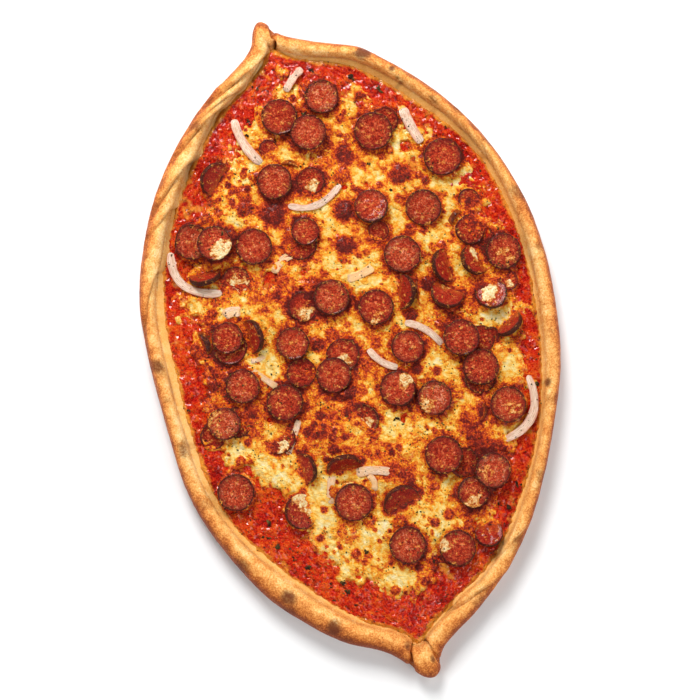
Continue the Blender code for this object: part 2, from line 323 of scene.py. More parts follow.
def mesh_piece(name, points, faces, attributes):
    """A mesh object at the origin from points in millimetres, blocks of faces, and a value a point per attribute."""
    mesh = bpy.data.meshes.new(name)
    mesh.vertices.add(len(points))
    mesh.vertices.foreach_set("co", (np.asarray(points) * MM).astype(np.float32).ravel())
    sizes = np.concatenate([np.full(len(block), block.shape[1]) for block in faces])
    corners = np.concatenate([block.ravel() for block in faces])
    mesh.loops.add(len(corners))
    mesh.loops.foreach_set("vertex_index", corners.astype(np.int32))
    mesh.polygons.add(len(sizes))
    mesh.polygons.foreach_set("loop_start", np.concatenate([[0], np.cumsum(sizes)[:-1]]).astype(np.int32))
    mesh.polygons.foreach_set("use_smooth", np.full(len(sizes), True))
    for key, values in attributes.items():
        layer = mesh.attributes.new(key, "FLOAT", "POINT")
        layer.data.foreach_set("value", np.asarray(values, np.float32).ravel())
    mesh.update(calc_edges=True)
    mesh.validate()
    piece = bpy.data.objects.new(name, mesh)
    bpy.context.scene.collection.objects.link(piece)
    return piece


def grid_faces(rows_count, columns, closed, start=0, flip=False):
    """Quads of a grid of numbered points, its rows joined end to end when closed."""
    last = rows_count if closed else rows_count - 1
    r = np.arange(last)[:, None]
    c = np.arange(columns - 1)[None, :]
    s = (r + 1) % rows_count
    quads = np.stack([r * columns + c, s * columns + c, s * columns + c + 1, r * columns + c + 1], axis=-1)
    quads = quads.reshape(-1, 4) + start
    return quads[:, ::-1] if flip else quads


# The underside: rings drawn in towards the middle, nearly flat, and the floor under the filling likewise.
UNDER_RINGS = 7
FLOOR_RINGS = (0.9, 0.45)
edge = position[:, 0, :]
rings = np.linspace(1.0, 0.0, UNDER_RINGS + 1)[1:-1]
under = np.stack([edge * np.array([k, k, 0.0]) for k in rings], axis=1)
floor_edge = position[:, -1, :]
level_floor = np.full((STATIONS, 1), FLOOR)
floor = np.stack([np.hstack([floor_edge[:, :2] * k, level_floor]) for k in FLOOR_RINGS], axis=1)
whole = np.concatenate([under[:, ::-1], position, floor], axis=1)
columns = whole.shape[1]
crust_faces = grid_faces(STATIONS, columns, True, flip=True)
points = np.vstack([whole.reshape(-1, 3), [[0.0, 0.0, 0.0], [0.0, 0.0, FLOOR]]])
here = np.arange(STATIONS) * columns
following = np.roll(here, -1)
low_fan = np.stack([here, following, np.full(STATIONS, len(points) - 2)], axis=1)
top_fan = np.stack([following + columns - 1, here + columns - 1, np.full(STATIONS, len(points) - 1)], axis=1)


def over_whole(values, under_value):
    """Spreads a value of the rim over the whole crust's points, with one value for the underside and floor."""
    pad_low = np.full((STATIONS, len(rings)), under_value)
    pad_high = np.full((STATIONS, 2), 0.3)
    return np.concatenate([np.concatenate([pad_low, values, pad_high], axis=1).ravel(), [under_value, 0.3]])


crust = mesh_piece(
    "crust_dough",
    points,
    [crust_faces, low_fan, top_fan],
    {
        "bake": over_whole(bake, 0.55),
        "char": over_whole(char, 0.12),
        "crease_shade": over_whole(crease_shade, 0.0),
        "soaked": over_whole(smoothstep(0.98, 1.12, across / foot[:, None]) * (up > 3.0), 0.0),
    },
)


def put(tree, kind, **values):
    """Adds a shader node and sets its sockets, or else its properties, by name."""
    made = tree.nodes.new(kind)
    for key, value in values.items():
        socket = key.replace("_", " ")
        if socket in made.inputs:
            made.inputs[socket].default_value = value
        else:
            setattr(made, key, value)
    return made


def feed(tree, value, socket):
    """Puts a number, a colour or another node's output into a socket."""
    if isinstance(value, bpy.types.NodeSocket):
        tree.links.new(value, socket)
    elif isinstance(value, (tuple, list)) and len(value) == 3 and socket.type == "RGBA":
        socket.default_value = (*value, 1.0)
    else:
        socket.default_value = value


def blend(tree, factor, first, second):
    """The colour that goes from first to second as factor goes from 0 to 1."""
    made = put(tree, "ShaderNodeMix", data_type="RGBA", clamp_factor=True)
    feed(tree, factor, made.inputs[0])
    feed(tree, first, made.inputs[6])
    feed(tree, second, made.inputs[7])
    return made.outputs[2]


def calc(tree, operation, first, second=0.0, third=0.0):
    """One sum on up to three values."""
    made = put(tree, "ShaderNodeMath", operation=operation)
    for value, socket in zip((first, second, third), made.inputs):
        feed(tree, value, socket)
    return made.outputs[0]


def spread(tree, value, low, high, out_low=0.0, out_high=1.0):
    """A value's place between low and high, smoothed, carried over to the out range."""
    made = put(tree, "ShaderNodeMapRange", interpolation_type="SMOOTHSTEP")
    for item, socket in zip((value, low, high, out_low, out_high), made.inputs):
        feed(tree, item, socket)
    return made.outputs[0]


def ramp(tree, value, stops):
    """A colour read off a row of (place, colour) stops."""
    made = put(tree, "ShaderNodeValToRGB")
    line = made.color_ramp
    while len(line.elements) < len(stops):
        line.elements.new(0.5)
    for element, (place, colour) in zip(line.elements, stops):
        element.position = place
        element.color = (*colour, 1.0)
    feed(tree, value, made.inputs[0])
    return made.outputs[0]


def read(tree, name):
    """A value that the mesh carries at each point."""
    return put(tree, "ShaderNodeAttribute", attribute_name=name).outputs["Fac"]


def mottle_group():
    """Uneven baking and seasoning, the same effect at any scale: cloudy noise, fine noise and round specks."""
    tree = bpy.data.node_groups.new("mottle", "ShaderNodeTree")
    for name, start in (("Cloud Scale", 150.0), ("Fine Scale", 900.0), ("Speck Scale", 400.0), ("Speck Size", 0.2)):
        tree.interface.new_socket(name, in_out="INPUT", socket_type="NodeSocketFloat").default_value = start
    for name in ("Cloud", "Fine", "Speck"):
        tree.interface.new_socket(name, in_out="OUTPUT", socket_type="NodeSocketFloat")
    given = put(tree, "NodeGroupInput").outputs
    result = put(tree, "NodeGroupOutput").inputs
    place = put(tree, "ShaderNodeTexCoord").outputs["Object"]
    for name, scale, detail in (("Cloud", "Cloud Scale", 3.0), ("Fine", "Fine Scale", 4.0)):
        noise = put(tree, "ShaderNodeTexNoise", Detail=detail, Roughness=0.6)
        feed(tree, place, noise.inputs["Vector"])
        feed(tree, given[scale], noise.inputs["Scale"])
        feed(tree, spread(tree, noise.outputs["Fac"], 0.28, 0.72), result[name])
    warp = put(tree, "ShaderNodeTexNoise", Scale=700.0, Detail=1.0)
    feed(tree, place, warp.inputs["Vector"])
    cells = put(tree, "ShaderNodeTexVoronoi", Randomness=1.0)
    feed(tree, place, cells.inputs["Vector"])
    feed(tree, given["Speck Scale"], cells.inputs["Scale"])
    ragged_edge = calc(tree, "MULTIPLY_ADD", warp.outputs["Fac"], 0.25, cells.outputs["Distance"])
    near = calc(tree, "SUBTRACT", calc(tree, "ADD", given["Speck Size"], 0.125), ragged_edge)
    chance = put(tree, "ShaderNodeSeparateColor")
    feed(tree, cells.outputs["Color"], chance.inputs[0])
    some = calc(tree, "GREATER_THAN", chance.outputs[0], 0.6)
    feed(tree, calc(tree, "MULTIPLY", spread(tree, near, 0.0, 0.09), some), result["Speck"])
    return tree


def place_group(tree, group, **values):
    """Puts a node group into a material with its own values."""
    made = put(tree, "ShaderNodeGroup", node_tree=group)
    for key, value in values.items():
        feed(tree, value, made.inputs[key.replace("_", " ")])
    return made


MOTTLE = mottle_group()


def new_material(name, **values):
    """A material's node tree and its Principled shader, with plain values set on the shader's own sockets."""
    made = bpy.data.materials.new(name)
    made.use_nodes = True
    tree = made.node_tree
    shader = tree.nodes["Principled BSDF"]
    for key, value in values.items():
        feed(tree, value, shader.inputs[key.replace("_", " ")])
    return made, tree, shader


def bump(tree, shader, height, distance, strength=1.0):
    """Raises the surface's shading by a height that is worth distance metres at 1."""
    made = put(tree, "ShaderNodeBump", Strength=strength, Distance=distance)
    feed(tree, height, made.inputs["Height"])
    tree.links.new(made.outputs["Normal"], shader.inputs["Normal"])


crust_look, tree, shader = new_material(
    "baked_dough", Subsurface_Weight=0.1, Subsurface_Scale=0.003, Specular_IOR_Level=0.2
)
feed(tree, (1.0, 0.55, 0.3), shader.inputs["Subsurface Radius"])
mottled = place_group(tree, MOTTLE, Cloud_Scale=210.0, Fine_Scale=1100.0, Speck_Scale=380.0, Speck_Size=0.17)
baked = calc(tree, "MULTIPLY_ADD", mottled.outputs["Cloud"], 0.24, read(tree, "bake"))
baked = calc(tree, "MULTIPLY_ADD", mottled.outputs["Fine"], 0.44, calc(tree, "SUBTRACT", baked, 0.27))
colour = ramp(
    tree,
    baked,
    (
        (0.0, (0.96, 0.66, 0.3)),
        (0.25, (0.88, 0.46, 0.13)),
        (0.5, (0.76, 0.28, 0.055)),
        (0.76, (0.52, 0.13, 0.02)),
        (1.0, (0.27, 0.05, 0.009)),
    ),
)
colour = blend(tree, calc(tree, "MULTIPLY", mottled.outputs["Speck"], 0.6), colour, (0.25, 0.065, 0.018))
burnt = calc(tree, "MULTIPLY_ADD", mottled.outputs["Cloud"], 0.35, read(tree, "char"))
burnt = spread(tree, calc(tree, "MULTIPLY_ADD", mottled.outputs["Fine"], 0.12, burnt), 0.2, 1.25)
colour = blend(tree, calc(tree, "MULTIPLY", burnt, 0.92), colour, (0.13, 0.026, 0.007))
# Painted shade: the folds, notches and the roll's foot darkened as if in shadow.
colour = blend(tree, calc(tree, "MULTIPLY", read(tree, "crease_shade"), 0.75), colour, (0.4, 0.12, 0.025))
colour = blend(tree, calc(tree, "MULTIPLY", read(tree, "soaked"), 0.6), colour, (0.9, 0.47, 0.12))
feed(tree, colour, shader.inputs["Base Color"])
feed(tree, spread(tree, mottled.outputs["Fine"], 0.0, 1.0, 0.5, 0.72), shader.inputs["Roughness"])
pores = calc(tree, "MULTIPLY_ADD", mottled.outputs["Cloud"], 0.5, mottled.outputs["Fine"])
bump(tree, shader, pores, 0.00035, 0.6)
crust.data.materials.append(crust_look)
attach(crust, "root")
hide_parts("crust")

# --- Sauce ---------------------------------------------------------------------------------------
# A coarse paste of tomato and red pepper, spread over the dough to the foot of the rim. It shows as a
# wet pebbly ring outside the cheese, and through it where the cheese is thin.

ROWS = 408
COLUMNS = 232
SAUCE_LEVEL = 7.5
right_side = inner_ring[: np.argmin(inner_ring[:, 1]) + 1]
left_side = inner_ring[np.argmin(inner_ring[:, 1]) :]
right_side = right_side[np.argsort(right_side[:, 1])]
left_side = left_side[np.argsort(left_side[:, 1])]


def filling_grid(rows_count, columns, beyond):
    """Points in rows across the filling, each row from the left edge to the right edge and a little beyond."""
    lowest, highest = inner_ring[:, 1].min(), inner_ring[:, 1].max()
    y_of_row = np.linspace(lowest - 0.5 * beyond, highest + 0.5 * beyond, rows_count)
    left = np.interp(y_of_row, left_side[:, 1], left_side[:, 0]) - beyond
    right = np.interp(y_of_row, right_side[:, 1], right_side[:, 0]) + beyond
    share = np.linspace(0.0, 1.0, columns)[None, :]
    gx = left[:, None] * (1 - share) + right[:, None] * share
    return gx, np.repeat(y_of_row[:, None], columns, axis=1)


def distance_inside(gx, gy):
    """How far each point lies inside the rim's inner edge: the least distance to the edge's straight pieces."""
    a = inner_ring
    b = np.roll(inner_ring, -1, axis=0)
    px, py = gx.ravel(), gy.ravel()
    nearest = np.full(px.shape, 1e9)
    winding = np.zeros(px.shape, int)
    for (ax, ay), (bx, by) in zip(a, b):
        dx, dy = bx - ax, by - ay
        t = np.clip(((px - ax) * dx + (py - ay) * dy) / (dx * dx + dy * dy), 0.0, 1.0)
        nearest = np.minimum(nearest, (px - ax - t * dx) ** 2 + (py - ay - t * dy) ** 2)
        crosses = (ay > py) != (by > py)
        winding += crosses & (px < ax + (py - ay) * dx / (dy if dy else 1e-9))
    return (np.sqrt(nearest) * np.where(winding % 2 == 1, 1.0, -1.0)).reshape(gx.shape)


def cell_noise(x, y, size, seed):
    """One point scattered in each square of a lattice: the nearest one's distance, the second's, and its value."""
    table = np.random.default_rng(seed).uniform(0.0, 1.0, (3, 256, 256))
    u, v = x / size + 91.0, y / size + 77.0
    i, j = np.floor(u).astype(int), np.floor(v).astype(int)
    best = np.full(x.shape, 9.0)
    second = np.full(x.shape, 9.0)
    value = np.zeros(x.shape)
    for di in (-1, 0, 1):
        for dj in (-1, 0, 1):
            ci, cj = (i + di) % 256, (j + dj) % 256
            d = np.hypot(i + di + table[0, cj, ci] - u, j + dj + table[1, cj, ci] - v)
            closer = d < best
            second = np.where(closer, best, np.minimum(second, d))
            value = np.where(closer, table[2, cj, ci], value)
            best = np.where(closer, d, best)
    return best, second, value


sx, sy = filling_grid(ROWS, COLUMNS, 1.6)
inside = distance_inside(sx, sy)
bend = 1.2 * lattice_noise(sx, sy, 5.0, 51)
small, _, lump_value = cell_noise(sx + bend, sy - bend, 3.1, 53)
fine, _, _ = cell_noise(sx - bend, sy + bend, 1.7, 57)
lumps = np.clip(1.0 - (small / 0.72) ** 2, 0.0, 1.0) * (0.3 + 0.7 * lump_value)
pebbles = np.clip(1.0 - (fine / 0.72) ** 2, 0.0, 1.0)
sauce_z = SAUCE_LEVEL + 0.7 * layered_noise(sx, sy, 14.0, 61) + 1.35 * lumps + 0.55 * pebbles - 0.8
sauce_z -= 1.4 * smoothstep(2.2, -1.0, inside)
# Oil turns the paste orange along the rim, where the cheese begins, and in stray patches.
stray = layered_noise(sx, sy, 15.0, 69, 4, 0.65)
orange = smoothstep(3.6, 0.2, inside + 2.5 * stray) + 0.75 * smoothstep(0.12, 0.5, stray)


def slab(name, gx, gy, gz, base, attributes):
    """A closed layer: a grid for its top, walls down its four sides, and a flat bottom fanned from the middle."""
    rows_count, columns = gx.shape
    top = np.stack([gx, gy, gz], axis=2).reshape(-1, 3)
    number = np.arange(rows_count * columns).reshape(rows_count, columns)
    rim = np.concatenate([number[0, :-1], number[:-1, -1], number[-1, :0:-1], number[:0:-1, 0]])
    low = np.stack([top[rim, 0], top[rim, 1], np.full(len(rim), base)], axis=1)
    lower = len(top) + np.arange(len(rim))
    walls = np.stack([rim, lower, np.roll(lower, -1), np.roll(rim, -1)], axis=1)
    middle = len(top) + len(rim)
    fan = np.stack([lower, np.full(len(rim), middle), np.roll(lower, -1)], axis=1)
    points = np.vstack([top, low, [[0.0, 0.0, base]]])
    full = {key: np.concatenate([v.ravel(), v.ravel()[rim], [0.0]]) for key, v in attributes.items()}
    return mesh_piece(name, points, [grid_faces(rows_count, columns, False, flip=True), walls, fan], full)


LAYER_GAP = 0.3
tint = 0.42 + 0.4 * layered_noise(sx, sy, 11.0, 67, 3) + 0.25 * lump_value
sauce_values = {"lump": 0.6 * lumps + 0.4 * pebbles, "tint": tint, "orange": orange}
sauce = slab("tomato_sauce", sx, sy, sauce_z, FLOOR + LAYER_GAP, sauce_values)
sauce_look, tree, shader = new_material(
    "wet_sauce",
    Subsurface_Weight=0.05,
    Subsurface_Scale=0.001,
    Specular_IOR_Level=0.12,
    Coat_Weight=0.6,
    Coat_Roughness=0.05,
)
feed(tree, (1.0, 0.2, 0.1), shader.inputs["Subsurface Radius"])
mottled = place_group(tree, MOTTLE, Cloud_Scale=330.0, Fine_Scale=1000.0, Speck_Scale=420.0, Speck_Size=0.16)
tinted = calc(tree, "MULTIPLY_ADD", mottled.outputs["Cloud"], 0.4, calc(tree, "MULTIPLY", read(tree, "tint"), 0.6))
tinted = calc(tree, "MULTIPLY_ADD", mottled.outputs["Fine"], 0.36, calc(tree, "SUBTRACT", tinted, 0.12))
colour = ramp(
    tree,
    tinted,
    (
        (0.1, (0.17, 0.002, 0.001)),
        (0.38, (0.48, 0.006, 0.002)),
        (0.62, (0.72, 0.03, 0.003)),
        (0.95, (0.88, 0.15, 0.01)),
    ),
)
# Painted shade: the crevices between the lumps darkened as if shadowed.
colour = blend(tree, spread(tree, read(tree, "lump"), 0.4, 0.0, 0.0, 0.72), colour, (0.13, 0.003, 0.002))
golden = calc(tree, "MULTIPLY_ADD", mottled.outputs["Cloud"], 0.5, calc(tree, "SUBTRACT", read(tree, "orange"), 0.25))
colour = blend(tree, spread(tree, golden, 0.28, 1.1), colour, (0.88, 0.33, 0.035))
colour = blend(tree, calc(tree, "MULTIPLY", mottled.outputs["Speck"], 0.65), colour, (0.05, 0.012, 0.006))
feed(tree, colour, shader.inputs["Base Color"])
feed(tree, spread(tree, mottled.outputs["Fine"], 0.0, 1.0, 0.16, 0.42), shader.inputs["Roughness"])
pulp = calc(tree, "ADD", mottled.outputs["Cloud"], calc(tree, "MULTIPLY", mottled.outputs["Fine"], 0.7))
bump(tree, shader, pulp, 0.0008, 1.0)
sauce.data.materials.append(sauce_look)
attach(sauce, "root")
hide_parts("sauce")

# --- Cheese --------------------------------------------------------------------------------------
# Grated cheese melted over the sauce: cream where it is thick, orange where fat and paprika have run
# into it, with browned blisters. It has crept up round every slice of sausage that lies in it.

SLICE_THICKNESS = 3.0


def disc_of(name):
    """A CAD slice's top face: its middle, its axis and its radius, from the largest flat face that looks up."""
    points, triangles = node_mesh(name)
    a, b, c = (points[triangles[:, k]] for k in range(3))
    cross = np.cross(b - a, c - a)
    size = np.linalg.norm(cross, axis=1)
    facing = np.round(cross / np.maximum(size[:, None], 1e-9), 2)
    looks_up = (facing[:, 2] > 0.05) & (size > 1e-6)
    ways, group = np.unique(facing[looks_up], axis=0, return_inverse=True)
    largest = np.argmax(np.bincount(group.reshape(-1), weights=size[looks_up]))
    chosen = np.nonzero(looks_up)[0][group.reshape(-1) == largest]
    axis = cross[chosen].sum(axis=0)
    axis /= np.linalg.norm(axis)
    corners = np.unique(triangles[chosen])
    flat = points[corners] - points[corners].mean(axis=0)
    first = np.linalg.svd(flat)[2][0]
    second = np.cross(axis, first)
    u, v = flat @ first, flat @ second
    fit = np.linalg.lstsq(np.stack([2 * u, 2 * v, np.ones(len(u))], axis=1), u * u + v * v, rcond=None)[0]
    middle = points[corners].mean(axis=0) + fit[0] * first + fit[1] * second
    return middle, axis, float(np.sqrt(fit[2] + fit[0] ** 2 + fit[1] ** 2))


slice_names = sorted(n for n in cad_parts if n.startswith("sausage_slice"))
slices = [disc_of(name) for name in slice_names]
CHEESE_TOP = float(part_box("cheese")[1].z) / MM

# Pieces of sausage too small or too deep in the cheese to be solids of their own, each placed from a whole
# slice: its number, the step across and along from it, diameter, lean, the way it looks, height above the
# cheese, and how much cheese lies over it.
BITS = (
    (6, 7.5, 4.0, 15.5, 2, 60, 1.9, 0.0),
    (7, 8.5, -26.0, 11.5, 12, 290, 1.8, 0.0),
    (11, -14.5, 16.5, 16.5, 6, 20, 1.9, 0.0),
    (22, 16.0, -8.0, 15.5, 8, 270, 1.6, 0.9),
    (25, -16.5, -1.0, 16.5, 5, 0, 1.9, 0.45),
    (30, -8.0, -5.5, 14.5, 6, 240, 1.6, 0.0),
    (30, 13.5, -2.0, 17.0, 10, 10, 1.9, 0.0),
    (30, 7.0, -1.0, 17.5, 8, 10, 2.8, 0.0),
    (39, 11.0, -3.5, 15.0, 3, 0, 1.8, 0.0),
    (38, -1.5, -6.0, 17.5, 4, 300, 2.0, 0.0),
    (44, 9.5, -7.0, 16.5, 4, 330, 2.0, 0.0),
    (23, 0.0, -5.5, 19.0, 5, 90, 2.0, 0.0),
    (18, -4.5, -5.5, 19.0, 5, 160, 2.0, 0.0),
    (29, 7.5, 9.5, 18.5, 4, 60, 2.0, 0.15),
    (26, 0.5, -17.0, 16.5, 3, 0, 2.0, 0.0),
    (3, 19.5, -4.5, 15.5, 5, 200, 1.9, 0.3),
    (1, -11.0, -14.5, 10.5, 16, 300, 2.2, 0.0),
    (3, 10.5, 7.0, 13.0, 55, 250, 2.4, 0.0),
    (8, 0.5, -14.5, 11.5, 6, 270, 1.9, 0.0),
    (9, 16.5, -9.5, 12.0, 68, 310, 2.8, 0.0),
    (16, 9.5, -1.5, 16.0, 66, 350, 2.6, 0.0),
    (11, -1.0, -16.5, 10.5, 8, 90, 1.9, 0.2),
    (23, -13.5, 0.5, 14.5, 66, 190, 4.5, 0.0),
    (42, -14.5, 0.0, 12.5, 35, 160, 2.4, 0.0),
    (43, -10.0, -4.5, 9.5, 18, 220, 2.4, 0.0),
    (40, -19.0, -11.0, 17.0, 14, 200, 2.1, 0.45),
    (28, -8.0, -18.0, 18.0, 12, 130, 2.0, 0.6),
)


def leaning_axis(lean, looks):
    """The upward axis of a disc that leans so many degrees and looks that way."""
    tilt, heading = math.radians(lean), math.radians(looks)
    return np.array([math.sin(tilt) * math.cos(heading), math.sin(tilt) * math.sin(heading), math.cos(tilt)])


bits = []
for number, dx, dy, diameter, lean, looks, stands, covered in BITS:
    axis = leaning_axis(lean, looks)
    raised_edge = 0.5 * diameter * math.sin(math.radians(lean))
    if lean > 12:
        half_seen = 0.5 * diameter * math.cos(math.radians(lean))
        visible_shift = max(0.0, half_seen - stands / math.tan(math.radians(lean)) / 2)
    else:
        visible_shift = 0.0
    middle = slices[number - 1][0] + np.array([dx, dy, 0.0])
    middle[:2] += visible_shift * axis[:2] / max(1e-6, np.hypot(axis[0], axis[1]))
    middle[2] = CHEESE_TOP + stands - raised_edge
    bits.append((middle, axis, diameter / 2, covered))

# How wide the bare ring of sauce is, by the angle round the bread from +X.
BARE_RING = (
    (-180, 11), (-165, 12), (-150, 14), (-138, 26), (-125, 25), (-110, 20), (-96, 17), (-84, 15), (-70, 9),
    (-58, 15), (-45, 11), (-30, 6.5), (-15, 7), (0, 8), (15, 9), (35, 10), (48, 9), (62, 10), (75, 13), (85, 11),
    (94, 12), (105, 15), (118, 12), (130, 12), (142, 13), (155, 12), (168, 11), (180, 11),
)  # fmt: skip
# Clouds of colour in the cheese: place as fractions of the filling's half width and half length, radius in
# millimetres, and how far it goes towards cream (above 0) or orange (below 0).
CLOUDS = (
    (-0.42, 0.55, 17, 0.9), (-0.28, 0.68, 13, 0.5), (-0.34, 0.40, 12, 0.4), (0.22, 0.70, 20, 0.35),
    (0.45, 0.58, 18, 0.45), (0.28, 0.36, 17, 0.8), (0.58, 0.50, 18, 0.55), (0.70, 0.43, 14, 0.6),
    (0.05, 0.30, 15, 0.7), (0.06, 0.22, 12, 0.9), (0.17, 0.16, 13, 0.7), (-0.02, 0.47, 14, 0.5),
    (-0.44, 0.32, 13, -0.35), (-0.33, 0.24, 16, -0.5), (-0.26, 0.18, 12, -0.25), (-0.83, 0.03, 15, -0.9),
    (-0.88, 0.09, 9, -0.6), (-0.74, 0.24, 10, 0.5), (-0.60, 0.20, 11, 0.6), (-0.56, 0.03, 9, 0.7),
    (-0.48, -0.02, 9, 0.8), (-0.28, -0.24, 15, -0.85), (-0.12, -0.33, 13, -0.7), (-0.45, -0.30, 12, 0.6),
    (-0.63, -0.30, 15, 0.8), (-0.74, -0.20, 10, 0.3), (-0.42, -0.42, 15, 0.9), (-0.56, -0.42, 12, 0.8),
    (-0.42, -0.57, 14, 0.95), (-0.15, -0.57, 11, 0.9), (-0.22, -0.45, 12, 0.7), (-0.30, -0.66, 17, 0.35),
    (-0.17, -0.72, 14, 0.25), (-0.28, -0.80, 12, 0.6), (0.13, -0.60, 15, 0.85), (0.22, -0.66, 12, 0.6),
    (0.05, -0.44, 14, -0.2), (0.02, -0.26, 13, 0.5), (0.12, -0.31, 12, 0.6), (0.30, -0.30, 14, 0.6),
    (0.48, -0.36, 15, -0.75), (0.56, -0.40, 11, -0.8), (0.40, -0.15, 12, 0.7), (0.52, -0.25, 12, 0.7),
    (0.77, -0.18, 15, 0.8), (0.72, -0.02, 12, 0.8), (0.42, 0.02, 12, -0.3), (0.52, 0.28, 14, 0.3),
    (0.66, 0.28, 10, 0.6), (0.78, 0.37, 11, -0.5), (0.86, 0.30, 10, 0.4), (-0.08, 0.60, 13, 0.2),
    (-0.50, 0.66, 13, -0.5), (-0.62, 0.56, 11, -0.4), (0.35, 0.80, 12, 0.5), (-0.10, 0.84, 12, 0.4),
    (-0.20, 0.02, 10, 0.5), (0.05, -0.08, 12, -0.6), (0.08, 0.00, 9, 0.2), (-0.02, -0.78, 12, 0.7),
)  # fmt: skip
# Domes and crusty lumps where the cheese toasted, each placed from a whole slice: its number, the step across
# and along from it, radius, how far it toasted.
BLOBS = (
    (3, -5, -18, 7.5, 0.95), (8, -15, 2, 6, 0.95), (18, 19, -13, 6.5, 0.95), (6, -19, -9, 6, 0.95),
    (8, -11, 21, 5, 0.78), (10, -10, 14, 6.5, 0.8), (3, -20, -10, 5.2, 0.85), (3, -11, 6, 2.4, 0.7),
    (2, 12, -11, 4.8, 0.75), (5, 3, -17, 5, 0.7), (25, -10, 8, 6, 0.75), (23, -19, -4, 3.6, 0.75),
    (23, -23, -9, 2.2, 0.75), (27, -20, 6, 9, 0.6), (27, -17, 4, 3, 0.85), (31, 7, 16, 2.8, 0.7),
    (31, 12, 14, 1.8, 0.7), (27, -10, 4, 2.2, 0.65), (27, -8, -3, 2.8, 0.65), (33, -3, 21, 12, 0.62),
    (28, 17, -12, 2.6, 0.9), (32, 8, 19, 2.6, 0.92), (33, -3, 12, 2.8, 0.92), (33, -2, 19, 2.0, 0.85),
    (29, 6, -11, 5, 0.85), (33, 28, 2, 1.9, 0.85), (36, 2, 18, 3.2, 0.74), (36, 7, 13, 3.6, 0.82),
    (44, -20, 8, 7, 0.6), (44, -9, -16, 2.6, 0.75), (44, -10, -10, 2.4, 0.7), (35, 6, -12, 4, 0.65),
    (35, -8, -15, 7, 0.65), (36, -4, -10, 4, 0.65), (33, -9, -11, 3.2, 0.65), (48, -9, 16, 2.8, 0.7),
    (6, 16, -12, 3.2, 0.68), (8, 20, 13, 6.6, 0.9), (7, -12, -10, 2.4, 0.85), (7, -15, -6, 2.0, 0.75),
    (9, -9, -9, 3.4, 0.8), (9, -12, 8, 2.6, 0.75), (7, 19, -13, 4.0, 0.68), (14, -9, 7, 4.5, 0.95),
    (16, 2, -13, 4.5, 0.9), (39, -10, 10, 2.8, 0.75), (37, -4, 11, 2.8, 0.75), (37, 2, -13, 3.8, 0.9),
    (41, 5, 14, 3, 0.85), (43, 3, -11, 2.3, 0.75), (43, 8, -7, 2.3, 0.75), (41, 14, -2, 2.4, 0.65),
    (2, -4, -18, 2.4, 0.72), (20, 10, 11, 2.6, 0.72), (3, -9, -12, 2.0, 0.65), (23, -5, 15, 3.0, 0.82),
    (22, 2, -17, 2.8, 0.7), (23, -8, 12, 2.8, 0.75), (19, 1, -16, 2.6, 0.7), (24, 8, 22, 3.2, 0.62),
    (23, -21, -2, 3.8, 0.72), (10, -19, 6, 1.8, 0.7), (25, -5, -20, 3.6, 0.78), (26, 12, -4, 5, 0.88),
    (37, -16, 6, 3.2, 0.72), (29, 2, -11, 4.5, 0.85), (45, -16, -9, 3.2, 0.82), (45, 2, -12, 3.6, 0.7),
    (48, -4, -10, 3.4, 0.84), (49, -9, 7, 3, 0.78),
    (48, -13, -9, 3.6, 0.9), (48, -14, -4, 2.8, 0.85), (47, -13, -23, 2.9, 0.75), (47, 4, -23, 2.2, 0.82),
    (46, 6, 13, 3.2, 0.8), (35, -6, -28, 2.5, 0.75), (34, 6, -17, 2.2, 0.85), (6, -2, 21, 3.4, 0.84),
    (6, -3, 12, 2.6, 0.74), (6, 6, -12, 2.5, 0.75), (6, 1, -14, 2.4, 0.78), (4, 11, 16, 2.4, 0.72),
    (6, -15, 1, 2.0, 0.72), (4, 7, -14, 2.4, 0.75), (34, 12, -2, 2.0, 0.8), (5, 16, -4, 1.8, 0.7),
)  # fmt: skip
half_width = (inner_ring[:, 0].max() - inner_ring[:, 0].min()) / 2
half_length = (inner_ring[:, 1].max() - inner_ring[:, 1].min()) / 2
cx, cy = filling_grid(ROWS, COLUMNS, -0.6)
inside = distance_inside(cx, cy)
bend = 2.2 * layered_noise(cx, cy, 9.0, 71, 2)
bx, by = cx + bend, cy - bend
bare = np.interp(np.degrees(np.arctan2(cy, cx)), *np.array(BARE_RING, float).T)
cover = (inside - bare) / 6.0 + 2.3 * layered_noise(cx, cy, 11.0, 73, 4, 0.65)
cover = np.minimum(cover, 0.75 + (0.56 - layered_noise(cx, cy, 13.0, 79, 3, 0.6)) * 7.0)

# Around each slice the cheese is drawn up against it, and a darker ring is painted round it: partly its fat running
# out, partly painted shade where the slice meets the cheese.
halo = np.zeros(cx.shape)
climb = np.zeros(cx.shape)
soaked = np.zeros(cx.shape)
for middle, axis, radius, *rest in slices + bits:
    fx, fy = cx - middle[0], cy - middle[1]
    flat = max(1e-6, np.hypot(axis[0], axis[1]))
    lean_x, lean_y = axis[0] / flat, axis[1] / flat
    along = (fx * lean_x + fy * lean_y) / max(axis[2], 0.25)
    away = np.maximum(np.hypot(along, -fx * lean_y + fy * lean_x) - radius, 0.0)
    level = middle[2] - (axis[0] * fx + axis[1] * fy) / max(axis[2], 0.3)
    above = smoothstep(CHEESE_TOP - 1.5, CHEESE_TOP + 1.0, level)
    halo = np.maximum(halo, np.exp(-away / 1.5) * above)
    climb = np.maximum(climb, np.exp(-away / 1.3) * above)
    soaked = np.maximum(soaked, np.exp(-((np.maximum(away + 0.6 * bend, 0.0) / 2.6) ** 2)) * above)
    cover = np.maximum(cover, np.where(inside > 5.0, 0.9 - away * 0.45, -9.0))
thick = np.clip(cover, 0.0, 1.0) ** 0.6
